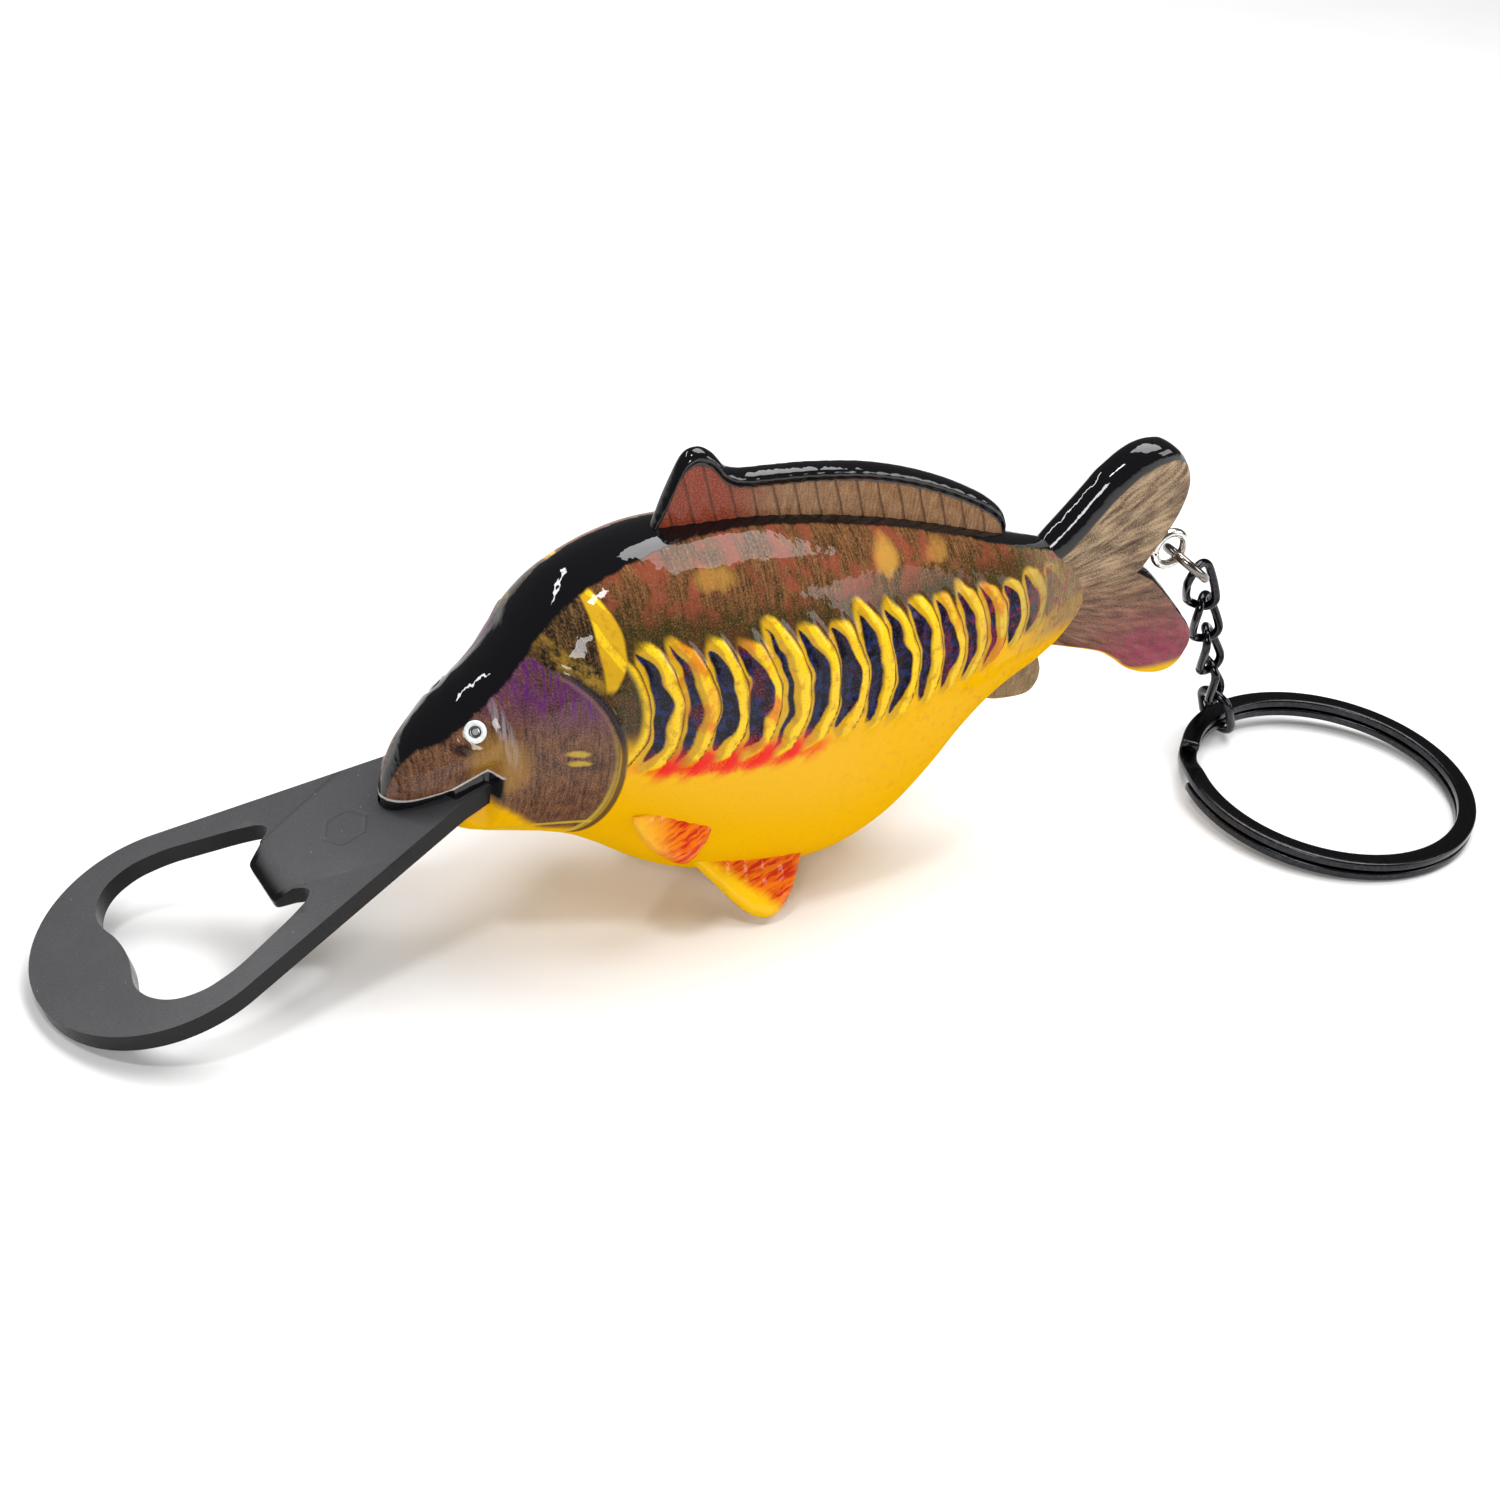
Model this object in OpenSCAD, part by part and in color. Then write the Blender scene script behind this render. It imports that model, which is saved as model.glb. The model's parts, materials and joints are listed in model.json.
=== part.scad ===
// Carp-shaped keyring bottle opener.
// It stands as it does on a table: the tip of the steel plate and the two
// pelvic fins touch the floor, the chain hangs from the tail and the key ring
// lies beside it.  +X runs from the plate's tip towards the tail, +Z is up.
// The fish's left flank faces -Y.

/* [Opener plate] */
// thickness of the steel plate
plate_thickness = 2.0; // [1.6:0.1:2.4]
// radius of the plate's round end
end_radius = 13.8; // [13.2:0.1:14.4]
// slope of the plate above the floor, degrees
plate_slope = 23; // [22.5:0.1:23.5]
// radius of the cap opening
cap_opening_radius = 10.6; // [10:0.1:11]
// half width of the lifting tooth at its front edge
tooth_half_width = 3.4; // [2.6:0.1:3.6]

/* [Fish] */
// number of facets round the trunk
trunk_sides = 36; // [24:4:48]
// radius of the tail lobes' rounded edge
tail_edge_radius = 2.1; // [1.6:0.1:2.4]

/* [Chain] */
// wire radius of the twisted links
link_wire_radius = 0.53; // [0.4:0.01:0.55]
// half length of a link, measured on the wire's centre line
link_half_length = 3.6; // [3.5:0.05:3.8]
// half width of a link, measured on the wire's centre line
link_half_width = 1.65; // [1.6:0.05:1.8]
// twist of a link from end to end, degrees
link_twist = 69; // [66:1:72]

/* [Key ring] */
// outer radius of the split ring
ring_outer_radius = 17.5; // [17.5:0.1:18]
// height of one coil of the split ring
coil_height = 1.15; // [1:0.05:1.2]

/* [Hidden] */
$fn = 64;

// frame: the drawing is moved so that the origin is under the middle of its box
plate_tip_x = -end_radius * cos(plate_slope);
plate_centre_height = end_radius * sin(plate_slope) + plate_thickness * cos(plate_slope);

// plate, in its own plane: u along the axis towards the fish, v across
taper_angle = 16;
shoulder_u = end_radius * sin(taper_angle);
shoulder_v = end_radius * cos(taper_angle);
tang_half_width = 5.3;
tang_u = shoulder_u + (shoulder_v - tang_half_width) / tan(taper_angle);
tang_end_u = 44;
opening_centre_u = 1.2;
opening_shoulder_u = 4.1;
opening_shoulder_v = 10.15;
opening_back_u = 12.4;
opening_back_v = 6.9;
notch_radius = 1.25;
notch_v = opening_back_v - notch_radius;
tooth_front_u = 10.3;
tooth_root_u = 12.6;
tooth_base_u = 14.5;
tooth_bevel_drop = 1.2;
lobe_centre_u = -13.5;
lobe_radius = 9.2;
badge_u = 20;
badge_depth = 0.35;
badge_radius = 2.6;

// fish trunk: distance from the plate's centre, back, belly, half width
TRUNK = [
  [22.0, 18.8, 16.9, 1.0], [22.8, 20.9, 16.4, 2.3], [24.2, 23.8, 15.6, 3.6],
  [26.5, 26.4, 14.7, 4.9], [29.0, 28.9, 13.7, 6.0], [32.0, 31.3, 13.0, 7.2],
  [33.6, 32.8, 12.7, 7.8], [35.5, 36.0, 12.3, 8.4], [38.5, 39.4, 11.7, 9.6],
  [41.6, 41.5, 10.8, 10.5], [45.0, 42.9, 9.0, 11.3], [49.0, 43.8, 6.4, 12.0],
  [54.0, 44.0, 4.0, 12.5], [60.0, 43.9, 2.5, 12.8], [66.0, 43.2, 1.9, 12.7],
  [72.0, 42.2, 2.4, 12.1], [77.5, 41.0, 4.8, 11.0], [82.0, 39.8, 8.7, 9.7],
  [86.0, 38.6, 13.0, 8.3], [90.0, 37.3, 16.4, 6.9], [94.0, 36.2, 18.4, 5.5],
  [98.0, 35.6, 19.8, 4.3], [102.0, 35.4, 21.0, 3.4], [106.0, 34.4, 22.8, 2.7],
  [109.0, 32.6, 25.4, 2.1]
];
nose_x = TRUNK[0][0];
rump_x = TRUNK[len(TRUNK) - 1][0];
trunk_steps = 52;
widest_height = 0.46;

// mouth: the upper jaw rests on the plate and the lower jaw starts further back
lower_jaw_x = 27.8;
jaw_cut_depth = 12;
jaw_cut_rake = 3;
jaw_overlap = 0.1;

// fins: radii of their rounded rims
fin_edge = 1.1;
fin_sides = 20;
side_fin_tip = 1;

// tail eye, chain and ring
eye_centre = [115.2, 0, 31];
eye_radius = 2.0;
eye_wire_radius = 0.5;
shank_radius = 0.6;
shank_length = 8;
jump_radius = 2.7;
jump_wire_radius = 0.53;
end_half_length = 3.5;
end_half_width = 2.1;
end_wire_radius = 0.55;
play = 0.06;
arc_steps = 10;
side_steps = 5;
wire_sides = 12;
jump_drop = 38.5;
ring_wire_width = 2.3;
coil_gap = 0.1;
corner_share = 0.35;
step_start = 60;
step_turn = 9;
step_share = 0.7;
ring_height = 2 * coil_height + coil_gap;
ring_mean_radius = ring_outer_radius - ring_wire_width / 2;
ring_centre_x = 137.3;
ring_centre_y = -10.5;
hook_angle = 106.4;
hook_lift = 1.55;
ring_tilt = asin(hook_lift / (ring_outer_radius + ring_mean_radius));
ring_centre_height = ring_height / 2 * cos(ring_tilt) + ring_outer_radius * sin(ring_tilt);
hook_point = [
  ring_centre_x + ring_mean_radius * cos(ring_tilt) * cos(hook_angle),
  ring_centre_y + ring_mean_radius * cos(ring_tilt) * sin(hook_angle),
  ring_centre_height + ring_mean_radius * sin(ring_tilt)
];

// the jump ring leans outwards over the tail; the links hang from its far end
jump_axis = [cos(jump_drop), 0, -sin(jump_drop)];
jump_at = eye_radius + jump_radius - eye_wire_radius - jump_wire_radius - play;
jump_end = eye_centre + (jump_at + jump_radius) * jump_axis;
chain_axis = (hook_point - jump_end) / norm(hook_point - jump_end);
chain_start = jump_end - (jump_wire_radius + link_wire_radius + play) * chain_axis;
link_pitch = 2 * (link_half_length - link_wire_radius) - play;
end_link_at = 3 * link_pitch + 2 * link_half_length + end_half_length
  - link_wire_radius - end_wire_radius - play;

// turn of each link about the chain, so that neighbours cross at right angles
first_turn = 90 + link_twist / 2;
turn_step = link_twist - 90;
end_turn = 4 * link_twist - 270;

// box of the whole object in the drawing's frame, used to place the origin
box_max_x = ring_centre_x + ring_outer_radius;
box_min_y = ring_centre_y - ring_outer_radius;
box_max_y = 13.3;
origin_shift = [-(plate_tip_x + box_max_x) / 2, -(box_min_y + box_max_y) / 2, 0];

steel_black = [0.07, 0.07, 0.075];
gunmetal = [0.16, 0.15, 0.15];
nickel = [0.62, 0.6, 0.57];
skin = [0.62, 0.45, 0.1];

// ---------- helpers ----------

// value of one column of the trunk table at a given distance
function trunk_value(x, column) = lookup(x, [for (row = TRUNK) [row[0], row[column]]]);

// places a child at a point with its X axis along the given direction and its
// Y axis turned from the horizontal by the given angle
module along(axis, centre, turn) {
  side = cross([0, 0, 1], axis) / norm(cross([0, 0, 1], axis));
  top = cross(axis, side);
  y_axis = cos(turn) * side + sin(turn) * top;
  z_axis = cross(axis, y_axis);
  multmatrix([
    [axis[0], y_axis[0], z_axis[0], centre[0]],
    [axis[1], y_axis[1], z_axis[1], centre[1]],
    [axis[2], y_axis[2], z_axis[2], centre[2]],
    [0, 0, 0, 1]
  ]) children();
}

// places a child in the plate's plane
module on_plate() {
  translate([0, 0, plate_centre_height]) rotate([0, -plate_slope, 0]) children();
}

// a fin or lobe with a rounded rim: the hull of balls given as [x, y, z, radius]
module rounded_blade(balls) {
  hull() {
    for (ball = balls) {
      translate([ball[0], ball[1], ball[2]]) sphere(r = ball[3], $fn = fin_sides);
    }
  }
}

// ---------- opener plate ----------

module slab() {
  translate([0, 0, -plate_thickness]) linear_extrude(height = plate_thickness) children();
}

module blank_plate() {
  slab() circle(r = end_radius);
  slab() polygon([
    [shoulder_u, shoulder_v], [tang_u, tang_half_width],
    [tang_end_u, tang_half_width], [tang_end_u, -tang_half_width],
    [tang_u, -tang_half_width], [shoulder_u, -shoulder_v]
  ]);
}

// round hole that narrows towards the fish
module cap_opening() {
  slab() translate([opening_centre_u, 0]) circle(r = cap_opening_radius);
  slab() polygon([
    [opening_centre_u, cap_opening_radius], [opening_shoulder_u, opening_shoulder_v],
    [opening_back_u, opening_back_v], [opening_back_u, -opening_back_v],
    [opening_shoulder_u, -opening_shoulder_v], [opening_centre_u, -cap_opening_radius]
  ]);
}

// rounded nib at the plate's end that bears on top of the cap
module lobe() {
  intersection() {
    slab() translate([lobe_centre_u, 0]) circle(r = lobe_radius);
    slab() circle(r = end_radius);
  }
}

// tab that hooks under the cap's rim
module tooth() {
  slab() polygon([
    [tooth_front_u, tooth_half_width], [opening_back_u, notch_v], [tooth_base_u, notch_v],
    [tooth_base_u, -notch_v], [opening_back_u, -notch_v], [tooth_front_u, -tooth_half_width]
  ]);
}

module notches() {
  for (side = [-1, 1]) translate([opening_back_u, side * notch_v, -2 * plate_thickness])
    cylinder(r = notch_radius, h = 3 * plate_thickness);
}

// wedge that slopes the top of the tooth down to its front edge
module tooth_bevel() {
  overrun = 1.2;
  reach = overrun * (tooth_root_u - tooth_front_u);
  rotate([90, 0, 0]) linear_extrude(height = 2 * notch_v, center = true) polygon([
    [tooth_root_u, 0], [tooth_root_u - reach, -overrun * tooth_bevel_drop],
    [tooth_root_u - reach, 1], [tooth_root_u, 1]
  ]);
}

module opener_plate() {
  color(steel_black) on_plate() difference() {
    union() {
      difference() {
        union() blank_plate();
        cap_opening();
      }
      lobe();
      tooth();
    }
    notches();
    tooth_bevel();
    translate([badge_u, 0, -badge_depth]) cylinder(r = badge_radius, h = 1, $fn = 6);
  }
}

// ---------- fish ----------

// cross-section of the trunk: rounder below, narrower towards the back
function section_point(x, angle) =
  let (
    back = trunk_value(x, 1),
    belly = trunk_value(x, 2),
    half_width = trunk_value(x, 3),
    middle = belly + widest_height * (back - belly),
    reach = sin(angle) > 0 ? back - middle : middle - belly
  )
  [x, half_width * cos(angle), middle + reach * sin(angle)];

module trunk() {
  rings = [for (i = [0:trunk_steps]) nose_x + (rump_x - nose_x) * i / trunk_steps];
  points = [
    for (x = rings, j = [0:trunk_sides - 1]) section_point(x, 360 * j / trunk_sides)
  ];
  walls = [
    for (i = [0:trunk_steps - 1], j = [0:trunk_sides - 1])
      let (a = i * trunk_sides + j, b = i * trunk_sides + (j + 1) % trunk_sides)
      for (half = [0, 1]) half == 0
        ? [a, b + trunk_sides, b]
        : [a, a + trunk_sides, b + trunk_sides]
  ];
  nose_cap = [for (j = [0:trunk_sides - 1]) j];
  rump_cap = [for (j = [trunk_sides - 1:-1:0]) trunk_steps * trunk_sides + j];
  polyhedron(points = points, faces = concat(walls, [nose_cap, rump_cap]), convexity = 4);
}

// root of the tail, then its upper and lower lobe
module tail() {
  root = tail_edge_radius + 0.6;
  edge = tail_edge_radius;
  rounded_blade([[98, 0, 32, root], [98, 0, 25.6, root], [109, 0, 29.5, edge],
    [107, 0, 27, edge]]);
  rounded_blade([[100, 0, 32.5, edge], [107.6, 0, 42.8, edge], [111.2, 0, 43.2, edge],
    [113.4, 0, 39.5, edge], [112.4, 0, 35.8, edge], [108.5, 0, 30.2, edge]]);
  rounded_blade([[101, 0, 25, edge], [113.5, 0, 18.1, edge], [117.6, 0, 17.4, edge],
    [118.2, 0, 20, edge], [114, 0, 24.8, edge], [108.8, 0, 29.2, edge]]);
}

// tall front spine, then the long low part of the fin
module dorsal_fin() {
  rounded_blade([[49.5, 0, 41, fin_edge], [52.6, 0, 50.6, fin_edge],
    [54, 0, 50.6, fin_edge], [57.5, 0, 47.8, fin_edge], [60, 0, 42, fin_edge]]);
  rounded_blade([[56, 0, 42, fin_edge], [56.5, 0, 48.2, fin_edge],
    [74, 0, 46.4, fin_edge], [82, 0, 44.4, fin_edge], [82, 0, 38, fin_edge]]);
  rounded_blade([[80, 0, 38, fin_edge], [80, 0, 45, fin_edge],
    [88, 0, 41.8, fin_edge], [91.4, 0, 38.2, fin_edge], [90, 0, 36, fin_edge]]);
}

module anal_fin() {
  rounded_blade([[90, 0, 18, fin_edge], [98, 0, 20.2, fin_edge],
    [98.6, 0, 16.8, fin_edge], [93, 0, 16.2, fin_edge]]);
}

// pelvic fin, whose tip is a foot, and the smaller pectoral fin ahead of it
module side_fins(side) {
  rounded_blade([[58, side * 8, 7, fin_edge], [55, side * 9.6, 4.6, fin_edge],
    [61, side * 10.8, side_fin_tip, side_fin_tip],
    [64.6, side * 10.4, 3.4, side_fin_tip], [62, side * 8, 7, fin_edge]]);
  rounded_blade([[44.5, side * 10.3, 15.4, fin_edge], [47, side * 11.2, 11.8, fin_edge],
    [52.6, side * 12.2, 14, fin_edge], [51, side * 12.2, 16.4, fin_edge]]);
}

// the space in front of the lower jaw, under the plate
module mouth() {
  jaw = lower_jaw_x / cos(plate_slope);
  on_plate() rotate([90, 0, 0])
    linear_extrude(height = 4 * tang_half_width, center = true) polygon([
      [jaw, jaw_overlap], [0, jaw_overlap], [0, -jaw_cut_depth],
      [jaw - jaw_cut_rake, -jaw_cut_depth]
    ]);
}

module fish_body() {
  color(skin) union() {
    difference() {
      trunk();
      mouth();
    }
    tail();
    dorsal_fin();
    anal_fin();
    side_fins(-1);
    side_fins(1);
  }
}

// ---------- tail eye, chain and key ring ----------

module wire_ring(mean_radius, wire_radius) {
  rotate_extrude() translate([mean_radius, 0]) circle(r = wire_radius);
}

// the eye stands upright in the fish's middle plane; its shank runs into the tail
module tail_screw_eye() {
  color(nickel) translate(eye_centre) {
    rotate([90, 0, 0]) wire_ring(eye_radius, eye_wire_radius);
    translate([-eye_radius, 0, 0]) rotate([0, -90, 0])
      cylinder(r = shank_radius, h = shank_length);
  }
}

module jump_ring() {
  color(gunmetal) along(jump_axis, eye_centre + jump_at * jump_axis, 0)
    wire_ring(jump_radius, jump_wire_radius);
}

// flat oval path of a link, as [x, y]
function oval_path(half_length, half_width) =
  let (straight = half_length - half_width)
  concat(
    [for (i = [0:arc_steps]) let (a = -90 + 180 * i / arc_steps)
      [straight + half_width * cos(a), half_width * sin(a)]],
    [for (i = [1:side_steps - 1]) [straight - 2 * straight * i / side_steps, half_width]],
    [for (i = [0:arc_steps]) let (a = 90 + 180 * i / arc_steps)
      [-straight + half_width * cos(a), half_width * sin(a)]],
    [for (i = [1:side_steps - 1]) [-straight + 2 * straight * i / side_steps, -half_width]]
  );

// the same path turned about X in step with its distance along X
function twisted(point, half_length, twist) =
  let (a = twist / 2 * point[0] / half_length)
  [point[0], point[1] * cos(a), point[1] * sin(a)];

function unit(v) = v / norm(v);

// round wire bent to a twisted oval
module twisted_link(half_length, half_width, wire_radius, twist) {
  flat = oval_path(half_length, half_width);
  count = len(flat);
  path = [for (p = flat) twisted(p, half_length, twist)];
  points = [
    for (i = [0:count - 1])
      let (
        ahead = unit(path[(i + 1) % count] - path[(i + count - 1) % count]),
        a = twist / 2 * flat[i][0] / half_length,
        lean = [0, -sin(a), cos(a)],
        side = unit(cross(ahead, lean)),
        top = cross(side, ahead)
      )
      for (j = [0:wire_sides - 1])
        let (b = 360 * j / wire_sides)
        path[i] + wire_radius * (cos(b) * side + sin(b) * top)
  ];
  faces = [
    for (i = [0:count - 1], j = [0:wire_sides - 1])
      let (
        next = (i + 1) % count,
        a = i * wire_sides + j,
        b = i * wire_sides + (j + 1) % wire_sides,
        c = next * wire_sides + (j + 1) % wire_sides,
        d = next * wire_sides + j
      )
      for (half = [0, 1]) half == 0 ? [a, b, c] : [a, c, d]
  ];
  polyhedron(points = points, faces = faces, convexity = 6);
}

module chain_link(number) {
  distance = link_half_length + (number - 1) * link_pitch;
  color(steel_black)
    along(chain_axis, chain_start + distance * chain_axis, first_turn + (number - 1) * turn_step)
    twisted_link(link_half_length, link_half_width, link_wire_radius, link_twist);
}

module end_link() {
  color(steel_black) along(chain_axis, chain_start + end_link_at * chain_axis, end_turn)
    twisted_link(end_half_length, end_half_width, end_wire_radius, 0);
}

// cross-section of one coil: flat wire with rounded edges
module coil_section() {
  corner = coil_height * corner_share;
  translate([ring_mean_radius - ring_wire_width / 2 + corner, 0])
    square([ring_wire_width - 2 * corner, coil_height]);
  translate([ring_mean_radius - ring_wire_width / 2, corner])
    square([ring_wire_width, coil_height - 2 * corner]);
  for (side = [-1, 1], level = [corner, coil_height - corner])
    translate([ring_mean_radius + side * (ring_wire_width / 2 - corner), level])
      circle(r = corner);
}

// two coils lying on each other, joined where the wire steps from one to the other
module split_ring() {
  color(steel_black)
    translate([ring_centre_x, ring_centre_y, ring_centre_height])
    rotate([0, 0, hook_angle]) rotate([0, -ring_tilt, 0])
    translate([0, 0, -ring_height / 2]) {
      rotate_extrude() coil_section();
      translate([0, 0, coil_height + coil_gap]) rotate_extrude() coil_section();
      rotate([0, 0, step_start]) rotate_extrude(angle = step_turn)
        translate([ring_mean_radius - ring_wire_width * step_share / 2, coil_height / 2])
        square([ring_wire_width * step_share, coil_height + coil_gap]);
    }
}

// ---------- the assembly ----------

translate(origin_shift) fish_body();
translate(origin_shift) opener_plate();
translate(origin_shift) tail_screw_eye();
translate(origin_shift) jump_ring();
translate(origin_shift) chain_link(1);  // chain_link_1
translate(origin_shift) chain_link(2);  // chain_link_2
translate(origin_shift) chain_link(3);  // chain_link_3
translate(origin_shift) chain_link(4);  // chain_link_4
translate(origin_shift) end_link();
translate(origin_shift) split_ring();
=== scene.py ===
# %% [markdown]
# # Carp keyring bottle opener
# This script dresses a finished mechanical model of a souvenir bottle opener:
# a moulded carp that bites a flat steel plate, with a chain and a key ring on
# its tail.

import json
import math

import bmesh
import bpy
from mathutils import Matrix, Vector


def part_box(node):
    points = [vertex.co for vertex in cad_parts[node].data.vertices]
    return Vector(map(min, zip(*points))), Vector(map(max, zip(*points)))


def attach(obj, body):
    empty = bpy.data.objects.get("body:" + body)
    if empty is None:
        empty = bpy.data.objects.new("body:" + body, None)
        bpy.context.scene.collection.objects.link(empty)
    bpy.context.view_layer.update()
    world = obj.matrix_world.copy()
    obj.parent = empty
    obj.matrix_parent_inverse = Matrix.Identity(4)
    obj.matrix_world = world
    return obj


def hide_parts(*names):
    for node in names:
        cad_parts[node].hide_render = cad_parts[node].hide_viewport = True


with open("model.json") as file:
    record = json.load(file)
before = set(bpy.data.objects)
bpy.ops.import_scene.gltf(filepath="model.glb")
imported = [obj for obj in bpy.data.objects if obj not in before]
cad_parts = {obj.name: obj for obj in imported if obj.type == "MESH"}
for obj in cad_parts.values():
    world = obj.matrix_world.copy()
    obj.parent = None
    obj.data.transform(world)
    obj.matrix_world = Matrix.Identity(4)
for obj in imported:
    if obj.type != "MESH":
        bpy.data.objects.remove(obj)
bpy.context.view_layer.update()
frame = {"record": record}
record = frame["record"]
MM = 0.001

# %% [markdown]
# The plate slopes down to the table and its round end is the opener's working
# end. All sizes below are in millimetres and are measured from the middle of
# that round end, because that is how the opener would be drawn: along the
# fish, across it, and up from the table.

# %% Working frame
PLATE_SLOPE = math.radians(23)
END_RADIUS = 13.8
PLATE_THICK = 2.0
plate_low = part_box("opener_plate")[0]
fish_low, fish_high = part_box("fish_body")
start = Vector((plate_low.x + END_RADIUS * math.cos(PLATE_SLOPE) * MM,
                (fish_low.y + fish_high.y) / 2, 0))
plate_height = END_RADIUS * math.sin(PLATE_SLOPE) + PLATE_THICK * math.cos(PLATE_SLOPE)


def place(x, y, z):
    """A point in millimetres from the plate's round end, in the model's frame."""
    return start + Vector((x, y, z)) * MM


print("plate's round end", [round(c / MM, 2) for c in start])

# %% [markdown]
# A grid of small faces can be moved onto almost any surface: one direction of
# the grid runs along the piece and the other runs round it. Welding the
# vertices that meet closes the seam and the two ends. The fish's trunk, the
# links and the rings are all made this way.

# %% Helpers for surfaces
def finish_mesh(bm, name, smooth=True):
    """Turns a bmesh into an object with normals outwards."""
    bmesh.ops.recalc_face_normals(bm, faces=bm.faces)
    for face in bm.faces:
        face.smooth = smooth
    mesh = bpy.data.meshes.new(name)
    bm.to_mesh(mesh)
    bm.free()
    piece = bpy.data.objects.new(name, mesh)
    bpy.context.scene.collection.objects.link(piece)
    return piece


def wrap(bm, along, around, surface, weld=0.0002):
    """Adds a grid moved onto surface(u, v), with u and v from 0 to 1, and welds it."""
    made = bmesh.ops.create_grid(bm, x_segments=along, y_segments=around, size=0.5)
    verts = made["verts"]
    for vert in verts:
        vert.co = surface(vert.co.x + 0.5, vert.co.y + 0.5)
    bmesh.ops.remove_doubles(bm, verts=verts, dist=weld * MM * 10)
    return verts


def smoothstep(low, high, value):
    """0 below low, 1 above high and a soft curve between."""
    t = min(max((value - low) / (high - low), 0.0), 1.0)
    return t * t * (3 - 2 * t)


def through(rows, x, column):
    """Smooth value of one column of a table of rows at x, by Hermite curves."""
    last = len(rows) - 1
    x = min(max(x, rows[0][0]), rows[last][0])
    i = max(k for k in range(last) if rows[k][0] <= x)

    def slope(k):
        a, b = rows[max(k - 1, 0)], rows[min(k + 1, last)]
        return (b[column] - a[column]) / (b[0] - a[0])

    (x0, x1), (y0, y1) = (rows[i][0], rows[i + 1][0]), (rows[i][column], rows[i + 1][column])
    h = x1 - x0
    t = (x - x0) / h
    return ((2 * t**3 - 3 * t**2 + 1) * y0 + (t**3 - 2 * t**2 + t) * h * slope(i)
            + (3 * t**2 - 2 * t**3) * y1 + (t**3 - t**2) * h * slope(i + 1))


# %% [markdown]
# The trunk is a stack of egg-shaped sections. Each row of the table is one
# section: its distance, the height of the back, the height of the belly and
# half its width. The nose sits straight on the plate, and the chin drops away
# just behind it, under the plate.

# %% Shape of the trunk
TRUNK = [
    (21.9, 18.0, 17.0, 0.3), (22.2, 19.4, 16.6, 1.2), (22.9, 21.2, 16.4, 2.3), (24.2, 23.8, 16.6, 3.5),
    (26.5, 26.4, 17.4, 4.7), (27.6, 27.5, 17.8, 5.2), (28.3, 28.2, 15.4, 5.5),
    (29.4, 29.2, 13.7, 6.0), (32.0, 31.4, 12.9, 7.2), (33.6, 33.2, 12.6, 7.8), (35.5, 36.2, 12.2, 8.5),
    (38.5, 39.5, 11.6, 9.6), (41.6, 41.5, 10.6, 10.5), (45.0, 42.9, 8.8, 11.3),
    (49.0, 43.8, 6.3, 12.0), (54.0, 44.0, 4.0, 12.5), (60.0, 43.9, 2.5, 12.8),
    (66.0, 43.2, 1.9, 12.7), (72.0, 42.2, 2.4, 12.1), (77.5, 41.0, 4.8, 11.0),
    (82.0, 39.8, 8.7, 9.7), (86.0, 38.6, 13.0, 8.3), (90.0, 37.3, 16.4, 6.9),
    (94.0, 36.0, 18.4, 5.2), (98.0, 34.9, 19.9, 3.6), (101.5, 33.6, 22.2, 2.4),
    (104.5, 31.6, 25.0, 1.4), (105.6, 29.2, 28.2, 0.3),
]
WIDEST = 0.46
GILL_X, GILL_Z = 33.0, 24.0
GILL_LENGTH, GILL_ABOVE, GILL_BELOW = 9.5, 10.2, 16.0
EYE_AT = (29.5, 26.7)
MOUTH_FLOOR = 6.2  # height of the plate's underside, carried on to x = 0
FLANK_PITCH = 3.5
FLANK_START = 42.6


def flank_row(x, step):
    """Middle height and half height of the row of big scales at x."""
    return 30.0 + 0.012 * (x - 60), 6.6 - 3.2 * step(68, 98, x)


def scale_phase(x, z, step=smoothstep):
    """Which scale of the row a point is in, counted from the gill, and how far
    it is above or below the row's middle, from -1 to 1. The skin's material
    calls this too, with nodes for x, z and step."""
    middle, half = flank_row(x, step)
    v = (z - middle) / half
    bulge = 2.6 - 1.3 * step(68, 98, x)
    lean = 0.5
    return (x - FLANK_START - bulge * (1 - v * v) + lean * v) / FLANK_PITCH, v


def gill_distance(x, z):
    """Below 1 inside the gill cover, above 1 behind it."""
    reach = GILL_ABOVE if z > GILL_Z else GILL_BELOW
    return math.hypot((x - GILL_X) / GILL_LENGTH, (z - GILL_Z) / reach)


def lip_height(x):
    """Height of the lip line, which rises from the snout to the mouth's corner."""
    return 18.1 + 0.42 * (x - 22)


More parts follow.
